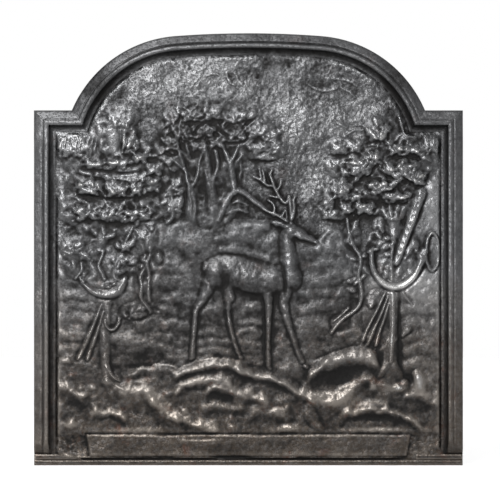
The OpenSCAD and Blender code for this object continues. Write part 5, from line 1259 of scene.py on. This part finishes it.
def ironMaterial(name, grain, pits, rub, speckle, rough, streak=None):
    material = bpy.data.materials.new(name)
    material.use_nodes = True
    tree = material.node_tree
    shader = tree.nodes["Principled BSDF"]
    coord = tree.nodes.new("ShaderNodeTexCoord").outputs["Object"]
    placed = {}
    for key, group in groups.items():
        placed[key] = tree.nodes.new("ShaderNodeGroup")
        placed[key].node_tree = group
        tree.links.new(coord, placed[key].inputs["Coord"])
    for title in ("Edge", "Broad"):
        tree.links.new(attributeInto(tree, title.lower()), placed["polish"].inputs[title])
    placed["polish"].inputs["Rub"].default_value = rub
    placed["grain"].inputs["Grain"].default_value = grain
    placed["grain"].inputs["Pits"].default_value = pits
    placed["stain"].inputs["Reach"].default_value = iron["stainReach"]
    worn, sootAndShade, bareAndHighlight = placed["polish"].outputs
    warm, rust = placed["stain"].outputs
    grainHeight, speckles = placed["grain"].outputs
    colour = mixInto(tree, warm, iron["body"], iron["warmBody"])
    colour = mixInto(tree, rust, colour, iron["rust"])
    colour = mixInto(tree, times(tree, speckles, speckle), colour, iron["speckle"])
    if streak:
        marks = noiseInto(tree, attributeInto(tree, "run", "Vector"), 1.0, 4, 0.6)
        marks = times(tree, rampInto(tree, marks, 0.48, 0.72), streak)
        colour = mixInto(tree, marks, colour, iron["speckle"])
    # the worn, bare and soot colours laid by the masks: wear and soot, with painted highlight and painted
    # shade
    colour = mixInto(tree, worn, colour, mixInto(tree, warm, iron["worn"], iron["warmWorn"]))
    colour = mixInto(tree, bareAndHighlight, colour, iron["bareAndHighlight"])
    colour = mixInto(tree, sootAndShade, colour, iron["sootAndShade"])
    tree.links.new(colour, shader.inputs["Base Color"])
    dull = plus(tree, times(tree, sootAndShade, iron["sootDulls"]), rough)
    gloss = mathInto(tree, "SUBTRACT", dull, times(tree, worn, iron["wornShines"]), clamp=True)
    tree.links.new(gloss, shader.inputs["Roughness"])
    shader.inputs["Metallic"].default_value = iron["metallic"]
    bump = tree.nodes.new("ShaderNodeBump")
    bump.inputs["Distance"].default_value = iron["bumpHeight"]
    bump.inputs["Strength"].default_value = iron["bumpStrength"]
    tree.links.new(grainHeight, bump.inputs["Height"])
    tree.links.new(bump.outputs["Normal"], shader.inputs["Normal"])
    return material


field = dict(grain=1.3, pits=0.6, rub=0.9, speckle=0.45, rough=0.33)
rubbedBorder = dict(grain=0.7, pits=0.5, rub=0.7, speckle=0.3, rough=0.38, streak=0.35)
# the land's material, whose soot colour also carries the painted shade below the folds
landSootAndShade = dict(grain=0.5, pits=0.4, rub=1.0, speckle=0.35, rough=0.38)
relief = dict(grain=0.5, pits=0.3, rub=0.7, speckle=0.25, rough=0.31)
finishes = dict(
    iron_field=ironMaterial("sandCastField", **field),
    iron_border=ironMaterial("rubbedBorder", **rubbedBorder),
    iron_land=ironMaterial("landSootAndShade", **landSootAndShade),
    iron_relief=ironMaterial("polishedRelief", **relief))

for name in nodeNames[1:]:
    slotName = "iron_land" if "ground" in name or "bank" in name else "iron_relief"
    if name == "tablet":
        slotName = "iron_border"
    dress(skinPiece(name), name, slotName)
print("carved pieces", len(nodeNames) - 1)


# the plate: sky, beds cut for the carved pieces, edge and sand-cast back
def outlineRing(inset):
    # outer edge of the plate, anticlockwise from the lower right corner as seen from the front
    half = plate["halfWidth"] - inset
    level = plate["shoulder"] - inset
    radius = plate["haunchRadius"] - inset
    start = math.atan2(level - haunchZ, math.sqrt(radius ** 2 - (level - haunchZ) ** 2))
    right = [(half, inset + t * (level - inset)) for t in np.linspace(0, 1, 84)]
    edgeX = haunchX + radius * math.cos(start)
    right += [(x, level) for x in np.linspace(half, edgeX, 10)[1:-1]]
    for a in np.linspace(start, math.pi / 2 - joinAngle, 34):
        right.append((haunchX + radius * math.cos(a), haunchZ + radius * math.sin(a)))
    big = plate["crownRadius"] - inset
    for a in np.linspace(joinAngle, 0, 18)[1:-1]:
        right.append((big * math.sin(a), crownZ + big * math.cos(a)))
    top = [(0, crownZ + big)]
    left = [(-x, z) for x, z in reversed(right)]
    foot = [(x, inset) for x in np.linspace(-half, half, 100)[1:-1]]
    return right + top + left + foot


def stripBetween(ringA, ringB):
    nextA, nextB = np.roll(ringA, -1), np.roll(ringB, -1)
    return np.stack([ringA, nextA, nextB, ringB], axis=1)


backForm = dict(pitch=7.0, clear=6, foot=5, sunk=0.2, lumps=[(0.35, 11, 5), (0.35, 12, 16)])


def backSkin(backRing):
    # rough inside points of the back, and triangles over them and the ring
    rough = noiseMix(*backForm["lumps"])
    flat = [Vector(p) for p in backRing]
    inside = []
    for x in np.arange(-plate["halfWidth"] + backForm["pitch"], plate["halfWidth"], backForm["pitch"]):
        for z in np.arange(backForm["pitch"], plate["top"], backForm["pitch"]):
            if cellAt(depthIn, x, z) > backForm["clear"] - border["width"] and z > backForm["foot"]:
                flat.append(Vector((x, z)))
                deep = backForm["sunk"] + abs(cellAt(rough, *flat[-1]))
                inside.append((flat[-1].x, plate["backY"] - deep, flat[-1].y))
    n = len(backRing)
    return inside, trianglesIn(flat, [(i, (i + 1) % n) for i in range(n)])


def platePiece():
    skyMask = cells == 0
    inPicture = cells >= 0
    carved = cells > 0
    walls = wallAlong(rimEdges(skyMask, carved), 0, pointCount)
    banks = wallAlong(rimEdges(carved, ~inPicture), pointCount, 0)
    beds = fillInside(rimEdges(carved), carved) + pointCount
    # flat land under the border, from the picture's edge out to the outline
    base = 2 * pointCount
    ring = outlineRing(0)
    n = len(ring)
    ids, flat, edges = flatRing(rimEdges(inPicture))
    edges += [(len(ids) + i, len(ids) + (i + 1) % n) for i in range(n)]
    shelf = trianglesIn(flat + [Vector(p) for p in ring], edges, inPicture, wanted=False)
    shelf = np.concatenate([ids, base + np.arange(n)])[shelf]
    # edge, bevel and back
    bevel = plate["backBevel"]
    backRing = outlineRing(bevel)
    loops = [[(x, plate["fieldY"], z) for x, z in ring], [(x, plate["backY"] - bevel, z) for x, z in ring],
             [(x, plate["backY"], z) for x, z in backRing]]
    backPoints, back = backSkin(backRing)
    back = back[:, ::-1] + base + 2 * n
    ringA, ringB, ringC = (base + k * n + np.arange(n) for k in range(3))
    sides = np.vstack([stripBetween(ringB, ringA), stripBetween(ringC, ringB)])
    points = np.vstack([topPoints, bedPoints] + loops + [backPoints])
    piece, used = buildMesh("backplate_casting", points,
                            [cellQuads(skyMask), walls, banks, beds, shelf, sides, back],
                            normals.reshape(-1, 3))
    extra = np.zeros(len(points) - base)
    addMask(piece, "edge", np.concatenate([np.tile(edgeWearAndPaintedLight.ravel(), 2), extra - 0.1])[used])
    addMask(piece, "broad", np.concatenate([np.tile(broadWearAndPaintedShade.ravel(), 2), extra - 0.2])[used])
    return piece


dress(platePiece(), "backplate", "iron_field")
print("plate done")


# the border moulding, swept between its outer and inner edges
def borderSection(b):
    # (distance in from the outer edge, height, edge mask), a closed ring that starts at the outer foot
    # the edge mask is painted shade in the groove and down the cove, and wear and painted highlight on the
    # rim's edge and the bead's crest
    ring = [(0, 0, 0), (0, 3, 0), (0, b["rimEdge"] - 1.8, 0.05), (0.5, b["rimEdge"] - 0.6, 0.3),
            (1.8, b["rimEdge"] + 0.2, 0.3)]
    for t in np.linspace(0.35, 1, 5):
        ring.append((b["rim"] * t, b["rimEdge"] + (b["rimHeight"] - b["rimEdge"]) * t, 0.12))
    for t in np.linspace(0.15, 0.85, 5):
        dip = math.sin(math.pi * t) ** 2
        ring.append((b["rim"] + b["groove"] * t, b["rimHeight"] - b["grooveDepth"] * dip, 0.1 - 0.3 * dip))
    for a in np.radians(np.linspace(176, 6, 13)):
        rise = math.sin(a)
        ring.append((b["rim"] + b["groove"] + b["bead"] / 2 * (1 + math.cos(a)),
                     b["rimHeight"] + (b["crest"] - b["rimHeight"]) * rise, 0.34 * rise))
    for a in np.radians(np.linspace(4, 88, 15)):
        rise = b["lip"] + (b["rimHeight"] - b["lip"]) * (1 - math.sin(a))
        ring.append((b["width"] - b["cove"] * math.cos(a), rise, -0.05 - 0.25 * math.sin(2 * a)))
    return ring + [(b["width"], 0, -0.4), (0.5 * b["width"], 0, 0)]


wornBorder = dict(border, rimEdge=10.2, rimHeight=12.4, grooveDepth=0.2, crest=13.8)
inward, crispHigh, crispEdge = np.array(borderSection(border)).T
wornHigh = np.array(borderSection(wornBorder))[:, 1]
waves = noiseMix((0.2, 21, 6), (0.12, 22, 2.2), (0.24, 23, 20))
drag = dict(along=0.035, across=16, slabAcross=0.5)  # the polish marks run along the moulding


def sampleSheet(field, x, z):
    fx = np.clip((x - xs[0]) / sheet["step"], 0, colCount - 1.001)
    fz = np.clip(z / sheet["step"], 0, rowCount - 1.001)
    c, r = fx.astype(int), fz.astype(int)
    u, v = fx - c, fz - r
    return (field[r, c] * (1 - u) * (1 - v) + field[r, c + 1] * u * (1 - v)
            + field[r + 1, c] * (1 - u) * v + field[r + 1, c + 1] * u * v)


def sweepPiece(node, outer, inner, mirror=False, rampFoot=False):
    outer, inner = np.array(outer, float), np.array(inner, float)
    if mirror:
        outer, inner = outer * [-1, 1], inner * [-1, 1]
    across = inward / border["width"]
    n, count = len(across), len(outer)
    x = outer[:, None, 0] + (inner - outer)[:, None, 0] * across
    z = outer[:, None, 1] + (inner - outer)[:, None, 1] * across
    # the right side and the left shoulder are worn flatter
    worn = np.clip(smoothStep(120, 260, x) + smoothStep(430, 470, z) * smoothStep(-150, -190, x), 0, 1)
    h = crispHigh + (wornHigh - crispHigh) * worn
    h = np.where(h > 1.5, np.minimum(h + sampleSheet(waves, x, z) - 0.25, border["crest"] - 0.03), h)
    if rampFoot:
        h = np.minimum(h, np.maximum(z - plate["footEnd"], 0) * 0.95 + 0.3 * (crispHigh > 0))
    points = np.stack([x, plate["fieldY"] - h, z], axis=-1).reshape(-1, 3)
    grid = np.arange(count * n).reshape(count, n)
    nxt = np.roll(grid, -1, axis=1)
    walls = np.stack([grid[:-1], nxt[:-1], nxt[1:], grid[1:]], axis=-1).reshape(-1, 4)
    caps = [np.array([grid[0][::-1]]), np.array([grid[-1]])]
    if mirror:
        walls = walls[:, ::-1]
        caps = [c[:, ::-1] for c in caps]
    piece, used = buildMesh(node + "_moulding", points, [walls] + caps)
    length = np.concatenate([[0], np.cumsum(np.hypot(*np.diff(outer, axis=0).T))])
    mask = crispEdge + (np.where(crispHigh > 8.5, 0.16, crispEdge) - crispEdge) * worn
    addMask(piece, "edge", mask.ravel()[used])
    # the border takes the same wear and painted light, such as the brighter left stile
    addMask(piece, "broad", (mask.ravel() * 0.5 + sampleSheet(wearAndPaintedLight, x, z).ravel())[used])
    run = [np.repeat(length, n) * drag["along"], np.tile(across * drag["across"], count), np.zeros(count * n)]
    addRun(piece, np.stack(run, axis=-1)[used])
    piece.data.set_sharp_from_angle(angle=math.radians(50))
    dress(piece, node, "iron_border")


def lineStations(a, b, count=20):
    return [(a[0] + (b[0] - a[0]) * t, a[1] + (b[1] - a[1]) * t) for t in np.linspace(0, 1, count)]


def arcStations(cx, cz, radius, start, end, count=70):
    return [(cx + radius * math.cos(a), cz + radius * math.sin(a)) for a in np.linspace(start, end, count)]


corner = (plate["halfWidth"], plate["shoulder"])
innerCorner = (innerSide, innerLevel)
quarter = math.pi / 2
stileStations = int((plate["shoulder"] - plate["footEnd"]) / 3.0) + 1
for side, mirror in (("right", False), ("left", True)):
    sweepPiece("stile_" + side, lineStations((plate["halfWidth"], plate["footEnd"]), corner, stileStations),
               lineStations((innerSide, plate["footEnd"]), innerCorner, stileStations), mirror, rampFoot=True)
    sweepPiece("shoulder_" + side, lineStations(corner, (springX, plate["shoulder"])),
               lineStations(innerCorner, (innerSpringX, innerLevel)), mirror)
    sweepPiece("haunch_" + side,
               arcStations(haunchX, haunchZ, plate["haunchRadius"], springAngle, quarter - joinAngle),
               arcStations(haunchX, haunchZ, innerRadius, innerSpringAngle, quarter - joinAngle), mirror)
crownRun = [arcStations(0, crownZ, radius, quarter - joinAngle, quarter + joinAngle)
            for radius in (plate["crownRadius"], plate["crownRadius"] - border["width"])]
sweepPiece("arch_crown", *crownRun)

# plain work along the foot
slab = dict(pitchX=1.5, pitchZ=1.0, edge=1.6, shake=0.8)


def slabSheet(x0, x1, z0, z1, thick):
    # low rounded slab on the field, as a closed sheet of points and faces
    sx = np.linspace(x0, x1, max(int((x1 - x0) / slab["pitchX"]), 4))
    sz = np.linspace(z0, z1, max(int((z1 - z0) / slab["pitchZ"]), 6))
    px, pz = np.meshgrid(sx, sz)
    inner = np.minimum(np.minimum(px - x0, x1 - px), np.minimum(pz - z0, z1 - pz))
    h = thick * (0.45 + 0.55 * smoothStep(0, slab["edge"], inner))
    h = np.clip(h + slab["shake"] * sampleSheet(waves, px, pz) - 0.25, 0.4, thick)
    front = np.stack([px, plate["fieldY"] - h, pz], axis=-1).reshape(-1, 3)
    rear = np.stack([px, np.full_like(px, plate["fieldY"]), pz], axis=-1).reshape(-1, 3)
    total = px.size
    grid = np.arange(total).reshape(px.shape)
    quads = np.stack([grid[:-1, :-1], grid[:-1, 1:], grid[1:, 1:], grid[1:, :-1]], axis=-1).reshape(-1, 4)
    rim = np.concatenate([grid[0, :-1], grid[:-1, -1], grid[-1, :0:-1], grid[:0:-1, 0]])
    after = np.roll(rim, -1)
    skirt = np.stack([after, rim, rim + total, after + total], axis=1)
    return np.vstack([front, rear]), [quads, skirt, quads[:, ::-1] + total], np.tile(inner.ravel(), 2)


def slabPiece(node, slabs):
    points, faces, inner, shift = [], [], [], 0
    for spot in slabs:
        p, f, i = slabSheet(*spot)
        points.append(p)
        faces += [one + shift for one in f]
        inner.append(i)
        shift += len(p)
    points = np.vstack(points)
    piece, used = buildMesh(node + "_casting", points, faces)
    near = np.concatenate(inner)[used]
    addMask(piece, "edge", np.exp(-((near - 1.2) / 1.2) ** 2) * 0.8 - 0.1)
    addMask(piece, "broad", near * 0)
    addRun(piece, points[used][:, [0, 2, 1]] * [drag["along"], drag["slabAcross"], 0])
    piece.data.set_sharp_from_angle(angle=math.radians(50))
    dress(piece, node, "iron_border")


def slabFrom(node):
    low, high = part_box(node)
    return low / mm, high / mm


low, high = slabFrom("foot_rail")
slabPiece("foot_rail", [(low.x, high.x, low.z, high.z, high.y - low.y)])
low, high = slabFrom("corner_pads")
padWidth = 66
slabPiece("corner_pads", [(low.x, low.x + padWidth, low.z, high.z, high.y - low.y),
                          (high.x - padWidth, high.x, low.z, high.z, high.y - low.y)])
print("border and foot done")

# floor, light and camera
view = dict(pixel=1.4, centreX=2.2, centreZ=301.7, far=6.0, sensor=36.0)
studio = dict(floorHalf=6.0, floorColour=(0.9, 0.9, 0.9, 1), floorGlow=0.8, fill=0.15, white=(1, 1, 1, 1))
lamps = dict(
    frontSoftBox=dict(place=(-0.4, -2.2, 0.88), aim=(0, 0, 0.3), size=0.9, watts=29),
    topSoftBox=dict(place=(-0.6, -2.0, 1.9), aim=(0, 0, 0.32), size=1.0, watts=22))


def seenRays(tree, kinds):
    # 1 for rays of these kinds, so that the ground shows white without lighting the object
    rays = tree.nodes.new("ShaderNodeLightPath")
    seen = rays.outputs[kinds[0]]
    for kind in kinds[1:]:
        seen = mathInto(tree, "MAXIMUM", seen, rays.outputs[kind])
    return seen


def paleFloor():
    size = studio["floorHalf"]
    mesh = bpy.data.meshes.new("floor")
    corners = [(-size, -size, 0), (size, -size, 0), (size, size, 0), (-size, size, 0)]
    mesh.from_pydata(corners, [], [(0, 1, 2, 3)])
    floor = newObject("floor", mesh)
    material = bpy.data.materials.new("paleFloor")
    material.use_nodes = True
    tree = material.node_tree
    shader = tree.nodes["Principled BSDF"]
    shader.inputs["Base Color"].default_value = studio["floorColour"]
    shader.inputs["Roughness"].default_value = 0.9
    seen = seenRays(tree, ["Is Camera Ray", "Is Glossy Ray"])
    tree.links.new(times(tree, seen, studio["floorGlow"]), shader.inputs["Emission Strength"])
    shader.inputs["Emission Color"].default_value = studio["white"]
    mesh.materials.append(material)


def whiteWorld():
    world = bpy.data.worlds.new("studio")
    bpy.context.scene.world = world
    world.use_nodes = True
    tree = world.node_tree
    back = tree.nodes["Background"]
    back.inputs["Color"].default_value = studio["white"]
    seen = seenRays(tree, ["Is Camera Ray", "Is Glossy Ray", "Is Transmission Ray"])
    strength = plus(tree, times(tree, seen, 1 - studio["fill"]), studio["fill"])
    tree.links.new(strength, back.inputs["Strength"])


def softBox(name, place, aim, size, watts):
    lamp = bpy.data.lights.new(name, "AREA")
    lamp.shape = "DISK"
    lamp.size = size
    lamp.energy = watts
    holder = newObject(name, lamp)
    holder.location = place
    holder.rotation_euler = (Vector(aim) - Vector(place)).to_track_quat("-Z", "Y").to_euler()


paleFloor()
whiteWorld()
for name, lamp in lamps.items():
    softBox(name, **lamp)

lens = bpy.data.cameras.new("camera")
lens.sensor_width = view["sensor"]
lens.lens = view["sensor"] * view["far"] / (500 * view["pixel"] * mm)
lens.clip_end = 50
camera = newObject("camera", lens)
camera.location = (view["centreX"] * mm, -view["far"], view["centreZ"] * mm)
camera.rotation_euler = (math.radians(90), 0, 0)
bpy.context.scene.camera = camera
bpy.context.scene.view_settings.view_transform = "Standard"
print("stage done")
